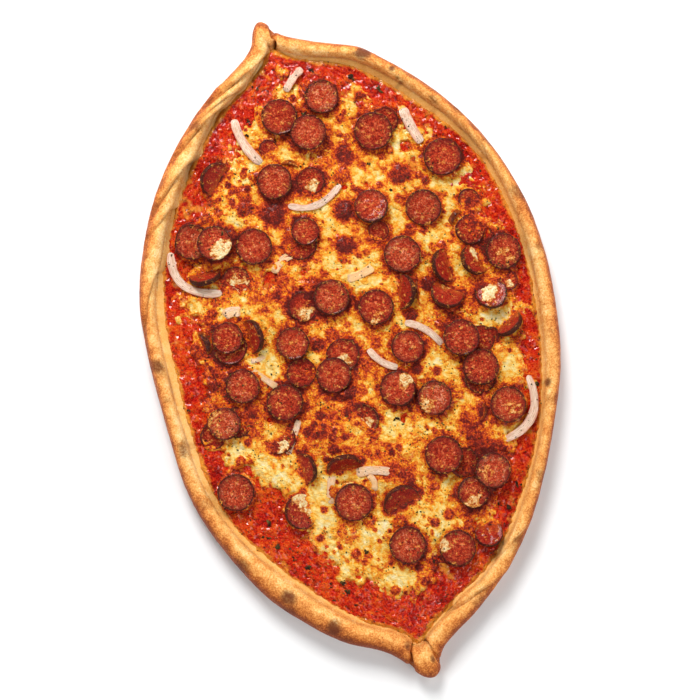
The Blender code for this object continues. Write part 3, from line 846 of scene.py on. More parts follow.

# Toast runs from 0, cream, through gold and orange where the cheese is thin or oily, to 1, dark brown; round each slice
# it also carries painted shade.
toast = 0.37 + 0.3 * layered_noise(cx, cy, 16.0, 83, 3, 0.55)
for place_x, place_y, radius, towards in CLOUDS:
    away = np.hypot(cx - place_x * half_width, cy - place_y * half_length) + bend
    toast -= 0.3 * towards * np.exp(-((away / (0.75 * radius)) ** 2))
toast += 0.42 * layered_noise(bx, by, 6.5, 89, 4, 0.72)
curd, curd_next, curd_value = cell_noise(bx, by, 4.4, 103)
valley = smoothstep(0.34, 0.0, curd_next - curd)
# 0.4 * soaked: the darker ring round each slice, part fat and part painted shade.
toast += 0.16 * valley - 0.05 + 0.34 * smoothstep(0.75, 0.1, thick) + 0.4 * soaked
toast = np.where(toast < 0.3, 0.3 - 0.6 * (0.3 - toast), toast)
flow = layered_noise(bx, by, 6.5, 97, 3, 0.6)
cheese_z = SAUCE_LEVEL - 1.3 + (CHEESE_TOP - SAUCE_LEVEL + 1.5) * thick
cheese_z += thick * (0.7 * layered_noise(cx, cy, 20.0, 101) + 0.55 * flow + 0.55 * climb)
cheese_z += 0.5 * thick * (1.0 - valley) * (0.3 + 0.7 * curd_value)

# Blisters and lumps: low domes that browned on top, the named ones and many strewn at random.
BLISTERS = 760
random = np.random.default_rng(4)
row_of = np.linspace(cy[0, 0], cy[-1, 0], ROWS)
domes = []
for number, dx, dy, radius, level in BLOBS:
    domes.append((slices[number - 1][0][0] + dx, slices[number - 1][0][1] + dy, radius, level, 1.0))
for k in range(BLISTERS):
    px, py = random.uniform(-1.0, 1.0, 2) * (half_width, half_length)
    domes.append((px, py, 0.7 + 1.5 * random.random() ** 2, 0.6 + 0.3 * random.random(), random.uniform(0.8, 1.25)))
# Where they crowd: the crowd's middle in millimetres, how far it spreads, how many.
CROWDS = (
    (-28, -40, 9, 26), (-87, 3, 8, 22), (-50, 101, 9, 16), (52, -66, 9, 14), (12, 125, 12, 16), (-12, -30, 8, 10),
    (8, -132, 14, 16),
)  # fmt: skip
for a, b, spread_out, count in CROWDS:
    for px, py in random.normal((a, b), spread_out, (count, 2)):
        domes.append((px, py, 0.8 + 1.3 * random.random(), 0.68 + 0.25 * random.random(), 1.0))
rough = layered_noise(cx, cy, 2.6, 109, 2, 0.8)
for px, py, radius, level, stretch in domes:
    reach = 1.7 * radius
    r0, r1 = np.searchsorted(row_of, (py - reach, py + reach))
    window = slice(r0, r1)
    wx, wy = cx[window] - px, cy[window] - py
    away = np.hypot(wx * stretch, wy / stretch) / radius + 0.09 * bend[window]
    if radius > 4.4:
        away = away + 0.3 * flow[window]
    near = (away < 1.7) * np.clip(cover[window] * 2.0 - 0.3, 0.0, 1.0)
    near = near * (1.0 - smoothstep(0.75, 1.0, halo[window]))
    dome = near * np.where(away < 1.0, (1.0 - away**2) ** 2, 0.0)
    crusty = level > 0.82
    cheese_z[window] += dome * (0.25 + 0.22 * min(radius, 5.0)) * (1.25 if crusty else 0.9)
    if crusty and radius > 2.4:
        cheese_z[window] += 0.55 * smoothstep(0.0, 0.3, dome) * rough[window]
    glow = near * np.exp(-((np.maximum(away - 0.7, 0.0) / 0.42) ** 2))
    peak = level if level > 0.7 or radius < 5 else level - 0.12 + 0.25 * rough[window]
    toast[window] += glow * np.maximum(0.72 * (peak - toast[window]), 0.0)
    toast[window] += near * smoothstep(0.0, 0.35, dome) * np.maximum(0.8 * (peak - toast[window]), 0.0)
    rim_line = near * np.exp(-(((away - 0.88) / 0.16) ** 2))
    toast[window] += 0.1 * rim_line * (radius < 5)
    if not crusty:
        toast[window] -= 0.14 * smoothstep(0.35, 1.0, dome)
cheese_z = np.maximum(cheese_z, FLOOR + 0.8)

seasoned = smoothstep(-0.1, 0.5, layered_noise(cx, cy, 26.0, 113, 3, 0.6) + 0.15)
cheese = slab("melted_cheese", cx, cy, cheese_z, FLOOR + 0.5, {"toast": toast, "seasoned": seasoned})
cheese_look, tree, shader = new_material(
    "melted_cheese", Subsurface_Weight=0.08, Subsurface_Scale=0.0012, Specular_IOR_Level=0.22, Coat_Roughness=0.06
)
feed(tree, (1.0, 0.5, 0.2), shader.inputs["Subsurface Radius"])
mottled = place_group(tree, MOTTLE, Cloud_Scale=330.0, Fine_Scale=1050.0, Speck_Scale=560.0, Speck_Size=0.12)
# The browned cheese is the grainy part, and the cream the smooth one.
toasted = calc(tree, "MULTIPLY_ADD", mottled.outputs["Cloud"], 0.24, calc(tree, "SUBTRACT", read(tree, "toast"), 0.095))
grain = spread(tree, read(tree, "toast"), 0.2, 0.55, 0.12, 0.38)
toasted = calc(tree, "MULTIPLY_ADD", calc(tree, "SUBTRACT", mottled.outputs["Fine"], 0.5), grain, toasted)
colour = ramp(
    tree,
    toasted,
    (
        (0.0, (0.99, 0.83, 0.5)),
        (0.19, (0.98, 0.68, 0.2)),
        (0.34, (0.95, 0.44, 0.03)),
        (0.49, (0.85, 0.21, 0.008)),
        (0.65, (0.64, 0.06, 0.003)),
        (0.82, (0.3, 0.014, 0.002)),
        (1.0, (0.11, 0.006, 0.002)),
    ),
)
peppered = calc(tree, "MULTIPLY", mottled.outputs["Speck"], read(tree, "seasoned"))
colour = blend(tree, calc(tree, "MULTIPLY", peppered, 0.85), colour, (0.07, 0.032, 0.01))
feed(tree, colour, shader.inputs["Base Color"])
crusted = spread(tree, toasted, 0.55, 0.9, 0.0, 0.22)
dulled = calc(tree, "ADD", spread(tree, mottled.outputs["Cloud"], 0.0, 1.0, 0.2, 0.38), crusted)
feed(tree, dulled, shader.inputs["Roughness"])
feed(tree, spread(tree, toasted, 0.45, 0.8, 0.34, 0.06), shader.inputs["Coat Weight"])
curds = calc(tree, "ADD", mottled.outputs["Cloud"], calc(tree, "MULTIPLY", mottled.outputs["Fine"], 0.8))
bump(tree, shader, curds, 0.0006, 1.0)
cheese.data.materials.append(cheese_look)
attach(cheese, "root")
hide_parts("cheese")

# --- Sausage slices --------------------------------------------------------------------------------
# Finger sausage cut 3 mm thick: a coarse red face with flecks of fat, in a skin that has shrunk and
# darkened in the oven. Each lies on the cheese where it fell, or has sunk in it on edge.

TURNS = 72
# Across the slice, from the middle of its face, over the skin and under to the middle of its back:
# fraction of the radius, depth below the face in millimetres.
SLICE_SECTION = (
    (0.001, 0.0), (0.12, 0.0), (0.24, 0.0), (0.36, 0.0), (0.47, 0.0), (0.57, 0.0), (0.66, 0.0), (0.74, 0.0),
    (0.81, 0.0), (0.865, -0.02), (0.905, -0.1), (0.94, -0.2), (0.965, -0.2), (0.985, -0.05), (1.0, 0.25),
    (1.003, 0.7), (0.995, 1.3), (0.99, 1.9), (0.985, 2.5), (0.965, 2.85), (0.92, 3.0), (0.6, 3.0), (0.3, 3.0),
    (0.001, 3.0),
)  # fmt: skip
# Cheese that ran over a slice: its number, the middle of the patch across and along from the slice's, the
# patch's radius, how much of it there is.
RUN_OVER = (
    (21, 2.5, -4.5, 6.5, 1.0), (13, 0.5, 3.5, 4.2, 1.0), (15, -0.5, 0.5, 6.0, 1.0), (17, -1.5, -6.0, 5.0, 0.45),
    (40, 5.5, 3.0, 4.6, 0.8), (41, -5.5, -2.5, 6.0, 0.5), (46, -4.0, 0.5, 4.5, 0.35), (34, 3.0, 6.5, 6.5, 0.9),
    (34, 6.5, -3.0, 5.5, 0.8), (45, -1.0, -5.0, 5.0, 0.5), (2, 4.5, -5.5, 6.0, 0.8), (48, -7.5, 4.5, 4.5, 0.8),
    (14, 1.5, 5.0, 4.0, 0.5), (12, 6.0, 1.0, 4.0, 0.6), (11, 0.0, -2.0, 5.5, 0.3), (30, -4.0, 2.0, 7.0, 0.4),
    (42, 2.5, -4.0, 5.0, 0.3), (32, -5.0, 1.5, 4.5, 0.7),
)  # fmt: skip
TONES = {30: 0.35, 36: -0.5, 33: -0.5, 12: -0.35, 16: -0.3, 24: -0.25, 46: 0.25, 4: 0.2, 27: 0.2, 10: 0.15, 41: 0.2}


def slice_surface(middle, axis, radius, seed, patches):
    """A worn disc about an axis: a profile turned round it, its edge and face made uneven by noise."""
    random = np.random.default_rng(seed)
    first = np.cross(axis, (0.3, 1.0, 0.1))
    first /= np.linalg.norm(first)
    second = np.cross(axis, first)
    turn = np.arange(TURNS) * 2 * np.pi / TURNS
    share = np.array([a for a, _ in SLICE_SECTION])
    depth = np.array([b for _, b in SLICE_SECTION])
    c, s = np.cos(turn)[:, None], np.sin(turn)[:, None]
    shift = random.uniform(-50, 50, 2)
    lobes = 1.0 + 0.022 * lattice_noise(2.2 * c + shift[0], 2.2 * s, 1.0, seed) + 0.008 * lattice_noise(
        9 * c, 9 * s + shift[1], 1.0, seed + 1
    )
    u = radius * share * c * lobes
    v = radius * share * s * lobes
    cup = 0.55 * random.uniform(-0.3, 1.0) * share**2
    cup = cup * (0.6 + 0.4 * np.cos(2 * (turn[:, None] - random.uniform(0, 6.3))))
    face = smoothstep(2.0, 0.0, depth)
    rough = 0.16 * layered_noise(u + shift[0], v + shift[1], 2.4, seed + 2, 2, 0.7) * (share < 0.9)
    skin = 0.14 * lattice_noise(turn[:, None] * radius + shift[0], depth[None, :] + 0 * turn[:, None], 1.3, seed + 3)
    height = cup * face + rough * face - depth * (SLICE_THICKNESS / 3.0)
    out = 1.0 + skin * ((share > 0.93) & (depth < 3.0)) / radius
    over = np.zeros_like(u)
    place = middle + (u * out)[:, :, None] * first + (v * out)[:, :, None] * second + height[:, :, None] * axis
    for px, py, size, much in patches:
        away = np.hypot(place[:, :, 0] - px, place[:, :, 1] - py) / size
        away += 0.6 * layered_noise(place[:, :, 0], place[:, :, 1], 3.4, seed + 5, 3, 0.7)
        over = np.maximum(over, much * smoothstep(1.05, 0.55, away) * (depth < 1.6))
    place = place + (0.45 * over * (depth < 1.6))[:, :, None] * axis
    sunk_depth = FLOOR + 0.6 - place[:, :, 2]
    place[:, :, 2] += 0.93 * np.maximum(sunk_depth, 0.0)
    leaning = smoothstep(0.97, 0.85, axis[2])
    soak = (0.1 + 0.9 * leaning) * smoothstep(3.5 * leaning + 0.8, 0.0, place[:, :, 2] - CHEESE_TOP)
    points = place.reshape(-1, 3)
    ring = np.broadcast_to(share, u.shape)
    side = np.broadcast_to((depth > 0.1) * 1.0, u.shape)
    wet = np.broadcast_to(leaning * 1.0, u.shape)
    values = {"ring": ring, "side": side, "over": over, "soak": soak, "wet": wet}
    return points, grid_faces(TURNS, len(SLICE_SECTION), True, flip=True), values


def sausage_material():
    """Coarse meat: cells of red with pale fat between them, a dark skin round the edge, cheese where it ran."""
    made, tree, shader = new_material("sausage", Specular_IOR_Level=0.12, Coat_Weight=0.14, Coat_Roughness=0.08)
    mottled = place_group(tree, MOTTLE, Cloud_Scale=420.0, Fine_Scale=1000.0, Speck_Scale=620.0, Speck_Size=0.16)
    place = put(tree, "ShaderNodeTexCoord").outputs["Object"]
    warp = put(tree, "ShaderNodeTexNoise", Scale=420.0, Detail=2.0)
    feed(tree, place, warp.inputs["Vector"])
    moved = put(tree, "ShaderNodeVectorMath", operation="MULTIPLY_ADD")
    feed(tree, warp.outputs["Color"], moved.inputs[0])
    moved.inputs[1].default_value = (0.0022, 0.0022, 0.0022)
    feed(tree, place, moved.inputs[2])
    grains = put(tree, "ShaderNodeTexVoronoi", Scale=680.0)
    feed(tree, moved.outputs[0], grains.inputs["Vector"])
    gaps = put(tree, "ShaderNodeTexVoronoi", Scale=680.0, feature="DISTANCE_TO_EDGE")
    feed(tree, moved.outputs[0], gaps.inputs["Vector"])
    split = put(tree, "ShaderNodeSeparateColor")
    feed(tree, grains.outputs["Color"], split.inputs[0])
    meat = calc(tree, "MULTIPLY_ADD", mottled.outputs["Cloud"], 0.26, calc(tree, "MULTIPLY", split.outputs[0], 0.38))
    meat = calc(tree, "MULTIPLY_ADD", mottled.outputs["Fine"], 0.5, calc(tree, "ADD", meat, read(tree, "tone")))
    colour = ramp(
        tree,
        meat,
        (
            (0.12, (0.17, 0.005, 0.002)),
            (0.36, (0.42, 0.02, 0.006)),
            (0.6, (0.6, 0.062, 0.017)),
            (0.82, (0.74, 0.14, 0.05)),
            (1.0, (0.88, 0.31, 0.18)),
        ),
    )
    dark_gap = spread(tree, gaps.outputs["Distance"], 0.1, 0.0)
    colour = blend(tree, calc(tree, "MULTIPLY", dark_gap, 0.6), colour, (0.1, 0.006, 0.003))
    ringed = calc(tree, "MULTIPLY_ADD", mottled.outputs["Cloud"], 0.2, read(tree, "ring"))
    smoked = calc(tree, "MULTIPLY", spread(tree, ringed, 0.6, 1.12), 0.85)
    colour = blend(tree, smoked, colour, (0.15, 0.013, 0.01))
    wet_red = blend(tree, mottled.outputs["Fine"], (0.24, 0.006, 0.003), (0.5, 0.022, 0.008))
    colour = blend(tree, calc(tree, "MULTIPLY", read(tree, "wet"), 0.75), colour, wet_red)
    wobble = calc(tree, "MULTIPLY_ADD", mottled.outputs["Cloud"], 0.11, read(tree, "ring"))
    rind = calc(tree, "MAXIMUM", spread(tree, wobble, 0.93, 1.03), read(tree, "side"))
    skin = blend(tree, mottled.outputs["Fine"], (0.022, 0.006, 0.004), (0.1, 0.018, 0.009))
    colour = blend(tree, calc(tree, "MULTIPLY", rind, 0.94), colour, skin)
    oily = calc(tree, "MULTIPLY_ADD", mottled.outputs["Cloud"], 0.5, calc(tree, "SUBTRACT", read(tree, "soak"), 0.25))
    colour = blend(tree, calc(tree, "MULTIPLY", spread(tree, oily, 0.1, 1.0), 0.7), colour, (0.52, 0.085, 0.006))
    cheesy = calc(tree, "MULTIPLY_ADD", mottled.outputs["Cloud"], 0.8, calc(tree, "SUBTRACT", read(tree, "over"), 0.62))
    cheesy = calc(tree, "MULTIPLY_ADD", mottled.outputs["Fine"], 0.3, cheesy)
    edge_tint = blend(tree, mottled.outputs["Fine"], (0.66, 0.14, 0.01), (0.88, 0.4, 0.07))
    colour = blend(tree, spread(tree, cheesy, 0.1, 0.5), colour, edge_tint)
    cream = blend(tree, mottled.outputs["Fine"], (0.93, 0.56, 0.18), (0.99, 0.84, 0.5))
    colour = blend(tree, spread(tree, cheesy, 0.38, 0.95), colour, cream)
    colour = blend(tree, calc(tree, "MULTIPLY", mottled.outputs["Speck"], 0.6), colour, (0.05, 0.02, 0.008))
    feed(tree, colour, shader.inputs["Base Color"])
    feed(tree, spread(tree, mottled.outputs["Fine"], 0.0, 1.0, 0.36, 0.6), shader.inputs["Roughness"])
    height = calc(tree, "MULTIPLY_ADD", spread(tree, gaps.outputs["Distance"], 0.0, 0.25), 0.8, mottled.outputs["Fine"])
    bump(tree, shader, height, 0.0005, 1.0)
    return made


sausage_look = sausage_material()
toppings = [sauce, cheese]
for number, (name, (middle, axis, radius)) in enumerate(zip(slice_names, slices), start=1):
    mine = [row[1:] for row in RUN_OVER if row[0] == number]
    patches = [(middle[0] + dx, middle[1] + dy, size, much) for dx, dy, size, much in mine]
    points, faces, values = slice_surface(middle, axis, radius, 200 + 7 * number, patches)
    tone = 0.06 * math.sin(5.1 * number) + 0.35 * TONES.get(number, 0.0)
    values["tone"] = np.full(len(points), tone)
    caps = [np.arange(TURNS)[None, :] * len(SLICE_SECTION) + k for k in (0, len(SLICE_SECTION) - 1)]
    piece = mesh_piece(name.replace("slice", "round"), points, [faces, caps[0], caps[1][:, ::-1]], values)
    piece.data.materials.append(sausage_look)
    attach(piece, "root")
    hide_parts(name)
    toppings.append(piece)

all_points, all_faces, all_caps = [], [], []
all_values = {"ring": [], "side": [], "over": [], "soak": [], "wet": [], "tone": []}
for number, (middle, axis, radius, covered) in enumerate(bits, start=1):
    patch = (middle[0], middle[1] - 0.35 * radius, radius * (0.42 + 0.5 * covered), 0.78)
    patches = [patch] if covered else []
    points, faces, values = slice_surface(middle, axis, radius, 900 + 11 * number, patches)
    start = sum(len(p) for p in all_points)
    all_points.append(points)
    all_faces.append(faces + start)
    caps = [np.arange(TURNS)[None, :] * len(SLICE_SECTION) + k + start for k in (0, len(SLICE_SECTION) - 1)]
    all_caps.append(np.vstack([caps[0], caps[1][:, ::-1]]))
    values["tone"] = np.full(len(points), -0.12 + 0.06 * math.sin(3.7 * number))
    for key, value in values.items():
        all_values[key].append(np.asarray(value).ravel())
sausage_bits = mesh_piece(
    "sausage_bits",
    np.vstack(all_points),
    [np.vstack(all_faces), np.vstack(all_caps)],
    {key: np.concatenate(value) for key, value in all_values.items()},
)
sausage_bits.data.materials.append(sausage_look)
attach(sausage_bits, "root")
toppings.append(sausage_bits)

# --- Onion ------------------------------------------------------------------------------------------
# Thin strips cut across an onion, softened in the oven: whitish, pink at the edges and half see-through,
# lying over the cheese. A few more have sunk in it.

STRIP_STATIONS = 64
STRIP_SIDES = 20
onion_names = sorted(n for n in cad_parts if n.startswith("onion_strip"))


def line_of(name):
    """A strip's middle line, seen from above: a cubic through its corners, along its longest direction."""
    points, _ = node_mesh(name)
    flat = points[:, :2] - points[:, :2].mean(axis=0)
    along, aside = np.linalg.svd(flat, full_matrices=False)[2]
    u, v = flat @ along, flat @ aside
    curve = np.polyfit(u, v, 3)
    steps = np.linspace(u.min() + 0.3, u.max() - 0.3, STRIP_STATIONS)
    line = points[:, :2].mean(axis=0) + steps[:, None] * along + np.polyval(curve, steps)[:, None] * aside
    slope = np.polyval(np.polyder(curve), u)
    width = 2 * np.percentile(np.abs(v - np.polyval(curve, u)) / np.hypot(1.0, slope), 75)
    return line, width, points[:, 2].max()


def strip_surface(line, width, top, seed, sunk):
    """A flattened tube along a line: each section a rounded slab that twists a little and thins at its ends."""
    t = np.linspace(0.0, 1.0, len(line))
    way = np.gradient(line, axis=0)
    way /= np.linalg.norm(way, axis=1, keepdims=True)
    aside = np.stack([-way[:, 1], way[:, 0]], axis=1)
    wave = lattice_noise(t * 5.0 + seed, 0 * t, 1.0, seed)
    ends = np.clip(np.minimum(t, 1.0 - t) * 9.0, 0.0, 1.0)
    half = 0.5 * width * (0.55 + 0.45 * np.sqrt(ends)) * (1.0 + 0.12 * wave)
    half[[0, -1]] *= 0.35
    angle = np.arange(STRIP_SIDES) * 2 * np.pi / STRIP_SIDES
    across = np.sign(np.cos(angle)) * np.abs(np.cos(angle)) ** 0.75
    up = np.sign(np.sin(angle)) * np.abs(np.sin(angle)) ** 0.8
    thickness = 0.36 * (0.5 + 0.5 * ends)
    twist = 0.16 * lattice_noise(t * 2.5, 0 * t + seed, 1.0, seed + 1)
    a = half[:, None] * across
    b = thickness[:, None] * (up + 0.25 * np.cos(2 * angle))
    tilt_a = a * np.cos(twist)[:, None] - b * np.sin(twist)[:, None]
    tilt_b = a * np.sin(twist)[:, None] + b * np.cos(twist)[:, None]
    ridges = 0.05 * np.cos(across * 11.0 + seed) * (up > 0.2)
    dipping = (1.0 - np.clip(np.minimum(t, 1.0 - t) * 6.0, 0.0, 1.0)) ** 2
    level = top - 0.55 - sunk + 0.25 * wave - 0.9 * dipping
    place_x, place_y = (line[:, None, k] + aside[:, None, k] * tilt_a for k in (0, 1))
    place = np.dstack([place_x, place_y, level[:, None] + tilt_b + ridges])
    number = np.arange(len(line) * STRIP_SIDES).reshape(len(line), STRIP_SIDES)
    faces = grid_faces(STRIP_SIDES, len(line), True).reshape(-1)
    faces = number.T.ravel()[faces].reshape(-1, 4)
    caps = [number[0][None, ::-1], number[-1][None, :]]
    shape = place.shape[:2]
    values = {"across": np.broadcast_to(across, shape), "lie": np.broadcast_to(t[:, None], shape)}
    return place.reshape(-1, 3), [faces] + caps, values


onion_look, tree, shader = new_material(
    "onion", Subsurface_Weight=0.2, Subsurface_Scale=0.0015, Specular_IOR_Level=0.3, Coat_Weight=0.2, Coat_Roughness=0.1
)
feed(tree, (1.0, 0.6, 0.4), shader.inputs["Subsurface Radius"])
mottled = place_group(tree, MOTTLE, Cloud_Scale=260.0, Fine_Scale=1500.0, Speck_Scale=520.0, Speck_Size=0.13)
fibre = put(tree, "ShaderNodeTexNoise", Scale=5.0, Detail=2.0, noise_dimensions="2D")
joined = put(tree, "ShaderNodeCombineXYZ")
feed(tree, calc(tree, "MULTIPLY", read(tree, "lie"), 1.6), joined.inputs[0])
feed(tree, calc(tree, "MULTIPLY", read(tree, "across"), 1.3), joined.inputs[1])
feed(tree, joined.outputs[0], fibre.inputs["Vector"])
streak = spread(tree, fibre.outputs["Fac"], 0.38, 0.62)
colour = blend(tree, streak, (0.6, 0.36, 0.24), (0.8, 0.62, 0.48))
edge_of = calc(tree, "ABSOLUTE", read(tree, "across"))
edge_of = calc(tree, "MULTIPLY_ADD", mottled.outputs["Cloud"], 0.5, edge_of)
colour = blend(tree, calc(tree, "MULTIPLY", spread(tree, edge_of, 0.7, 1.3), 0.75), colour, (0.64, 0.27, 0.17))
oiled = calc(tree, "MULTIPLY_ADD", mottled.outputs["Cloud"], 0.6, calc(tree, "SUBTRACT", read(tree, "sunk"), 0.2))
colour = blend(tree, calc(tree, "MULTIPLY", spread(tree, oiled, 0.2, 1.4), 0.8), colour, (0.86, 0.48, 0.17))
colour = blend(tree, calc(tree, "MULTIPLY", mottled.outputs["Speck"], 0.8), colour, (0.08, 0.035, 0.015))
feed(tree, colour, shader.inputs["Base Color"])
feed(tree, spread(tree, mottled.outputs["Cloud"], 0.0, 1.0, 0.18, 0.4), shader.inputs["Roughness"])
bump(tree, shader, calc(tree, "MULTIPLY_ADD", streak, 0.5, mottled.outputs["Fine"]), 0.0003, 0.5)

for number, name in enumerate(onion_names, start=1):
    line, width, top = line_of(name)
    points, faces, values = strip_surface(line, 1.22 * width, top + 0.3, 500 + number, 0.0)
    values["sunk"] = np.zeros(len(points))
    strip = mesh_piece(name.replace("strip", "slice"), points, faces, values)
    strip.data.materials.append(onion_look)
    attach(strip, "root")
    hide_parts(name)
    toppings.append(strip)

# Strips that lie deeper: start, bend and end, each as steps from a whole sausage slice, width, depth.
SUNK_STRIPS = (
    (29, (-25, -19), (-29, -26), (-36, -37), 3.4, 0.0),
    (35, (-7, 19), (-12, 9), (-13, 1), 4.2, 0.1),
    (35, (5, 15), (14, 16), (24, 11), 5.2, -0.1),
    (35, (11, 13), (16, 8), (12, 3), 3.6, 0.2),
    (24, (-4, -17), (0, -22), (9, -32), 3.4, 0.1),
    (19, (7, -17), (11, -10), (22, -9), 4.4, 0.25),
    (25, (11, 8), (18, 7), (27, 11), 4.6, 0.3),
    (23, (1, 12), (5, 15), (11, 12), 5.5, 0.1),
    (24, (6, -12), (2, -14), (-3, -13), 2.6, 0.1),
)  # fmt: skip
SUNK_STRIP_TOP = 1.3
t = np.linspace(0.0, 1.0, STRIP_STATIONS)[:, None]
all_points, all_faces, all_values = [], [], {"across": [], "lie": [], "sunk": []}
for number, (who, first, second, third, width, depth) in enumerate(SUNK_STRIPS, start=1):
    start = sum(len(p) for p in all_points)
    line = (1 - t) ** 2 * np.array(first) + 2 * t * (1 - t) * np.array(second) + t**2 * np.array(third)
    line = slices[who - 1][0][:2] + line
    points, faces, values = strip_surface(line, width, CHEESE_TOP + SUNK_STRIP_TOP, 600 + number, depth)
    values["sunk"] = np.full(len(points), 0.55 + 1.6 * max(depth, 0.0))
    all_points.append(points)
    all_faces.extend(block + start for block in faces)
    for key, value in values.items():
        all_values[key].append(np.asarray(value).ravel())
joined_values = {key: np.concatenate(value) for key, value in all_values.items()}
sunk_onion = mesh_piece("sunk_onion", np.vstack(all_points), all_faces, joined_values)
sunk_onion.data.materials.append(onion_look)
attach(sunk_onion, "root")
toppings.append(sunk_onion)

# --- Herbs and pepper ----------------------------------------------------------------------------------
# Dried herb shaken over the top before baking: specks of pepper and leaf everywhere, and larger scraps
# that stuck in the sauce and went dark.

HERBS = (
    (34, -20, -2, 3.4), (34, -21, -9, 3.2), (34, -25, -9, 2.8), (34, -18, -15, 3.6), (34, -11, -25, 3.4),
    (34, -5, -30, 4.6), (47, -40, -12, 4.4), (47, -39, -17, 3.4), (34, 5, -45, 3), (47, -36, -26, 3),
    (34, -11, -19, 2.8), (47, -24, 3, 3.4), (4, 19, 7, 4.4), (6, 10, 23, 3.8), (6, -6, -17, 3), (8, 13, 6, 2),
    (7, 6, 16, 2), (4, -2, 16, 4), (1, -9, 19, 4), (1, -17, 2, 3.4), (5, 0, 11, 4.4), (1, -5, -12, 3),
    (40, -4, -17, 3.6), (40, -2, -20, 2), (29, -7, -16, 2), (11, 1, 13, 3), (46, 12, -11, 4), (45, 13, -11, 3),
    (49, 14, 11, 4), (48, -15, -5, 2.4), (42, 19, 7, 3.8), (7, 19, -13, 2.4), (1, -19, -5, 2.4),
    (30, -17, 12, 3), (21, 5, 3, 2), (2, 11, 1, 2),
)  # fmt: skip
SPECKS = 3200
depsgraph = bpy.context.evaluated_depsgraph_get()
ground = []
for piece in toppings:
    corners = np.array(piece.bound_box) / MM
    ground.append((BVHTree.FromObject(piece, depsgraph), corners.min(axis=0), corners.max(axis=0)))


def top_at(x, y):
    """Height in millimetres of the highest piece under a point, and its normal."""
    best = None
    for tree, low, high in ground:
        if not (low[0] < x < high[0] and low[1] < y < high[1]):
            continue
        hit = tree.ray_cast(Vector((x * MM, y * MM, 0.05)), Vector((0.0, 0.0, -1.0)))
        if hit[0] is not None and (best is None or hit[0].z > best[0].z):
            best = hit
    return (best[0].z / MM, np.array(best[1])) if best else (None, None)


def flakes(places, sides, rings, seed):
    """Small flat scraps: each a squashed ball of rings and sides, its radius uneven, laid on the ground's slope."""
    random = np.random.default_rng(seed)
    lat = np.linspace(0.0, np.pi, rings + 2)[1:-1]
    lon = np.arange(sides) * 2 * np.pi / sides
    ball_x, ball_y = ((np.sin(lat)[:, None] * way).ravel() for way in (np.cos(lon), np.sin(lon)))
    ball = np.stack([ball_x, ball_y, np.repeat(np.cos(lat), sides)], axis=1)
    ball = np.vstack([ball, [[0, 0, 1.0], [0, 0, -1.0]]])
    faces = grid_faces(sides, rings, True, flip=True).reshape(-1)
    number = np.arange(rings * sides).reshape(rings, sides).T.ravel()
    faces = number[faces].reshape(-1, 4)
    here = np.arange(sides)
    upper = np.stack([here, np.roll(here, -1), np.full(sides, rings * sides)], axis=1)
    lower = np.stack([np.roll(here, -1), here, np.full(sides, rings * sides + 1)], axis=1)
    lower[:, :2] += (rings - 1) * sides
    points, quads, ends, shade = [], [], [], []
    for k, (x, y, z, normal, size) in enumerate(places):
        rough = 1.0 + random.uniform(-0.35, 0.35, len(ball))
        shape = ball * rough[:, None] * (size * random.uniform(0.7, 1.3), size * random.uniform(0.45, 0.9), size * 0.4)
        turn = random.uniform(0, 2 * np.pi)
        first = np.cross((math.cos(turn), math.sin(turn), 0.0), normal)
        first /= np.linalg.norm(first)
        second = np.cross(normal, first)
        points.append(np.array([x, y, z]) + shape[:, :1] * first + shape[:, 1:2] * second + shape[:, 2:] * normal)
        quads.append(faces + k * len(ball))
        ends.append(np.vstack([upper, lower]) + k * len(ball))
        shade.append(np.full(len(ball), random.random()))
    return np.vstack(points), [np.vstack(quads), np.vstack(ends)], {"shade": np.concatenate(shade)}


random = np.random.default_rng(17)
places = []
cloud_seed = 131
while len(places) < SPECKS:
    px, py = random.uniform(-1.0, 1.0, 2) * (half_width, half_length)
    density = 0.5 + 0.9 * layered_noise(np.array([px]), np.array([py]), 24.0, cloud_seed, 3)[0]
    if random.random() > density:
        continue
    z, normal = top_at(px, py)
    if z is None or z < SAUCE_LEVEL - 1.0:
        continue
    places.append((px, py, z + 0.05, normal, 0.3 + 0.4 * random.random() ** 2))
specks = mesh_piece("pepper_specks", *flakes(places, 5, 2, 19))
places = []
for number, dx, dy, size in HERBS:
    px, py = slices[number - 1][0][0] + dx, slices[number - 1][0][1] + dy
    for k in range(2 + int(size > 3.2)):
        qx, qy = (px, py) + random.normal(0.0, 0.22 * size, 2)
        z, normal = top_at(qx, qy)
        if z is not None:
            places.append((qx, qy, z + 0.05, normal, size * random.uniform(0.2, 0.4)))
scraps = mesh_piece("herb_scraps", *flakes(places, 10, 5, 23))
herb_look, tree, shader = new_material("dried_herb", Specular_IOR_Level=0.12)
mottled = place_group(tree, MOTTLE, Cloud_Scale=900.0, Fine_Scale=2600.0, Speck_Scale=800.0, Speck_Size=0.1)
own_shade = calc(tree, "MULTIPLY", read(tree, "shade"), 0.7)
herb_colour = calc(tree, "MULTIPLY_ADD", mottled.outputs["Cloud"], 0.35, own_shade)
colour = ramp(
    tree,
    herb_colour,
    (
        (0.1, (0.022, 0.009, 0.004)),
        (0.55, (0.055, 0.024, 0.007)),
        (0.8, (0.08, 0.055, 0.014)),
        (1.0, (0.19, 0.13, 0.035)),
    ),
)
feed(tree, colour, shader.inputs["Base Color"])
feed(tree, spread(tree, mottled.outputs["Fine"], 0.0, 1.0, 0.35, 0.7), shader.inputs["Roughness"])
bump(tree, shader, mottled.outputs["Fine"], 0.0003, 0.6)
for piece in (specks, scraps):
    piece.data.materials.append(herb_look)
    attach(piece, "root")

# --- Floor, camera and light -----------------------------------------------------------------------
# A plain pale floor that glows a little further out, four soft square lamps with the strongest beyond the
# upper nub, and a sky that is pale near the ground and dim overhead, so that wet faces keep their colour.

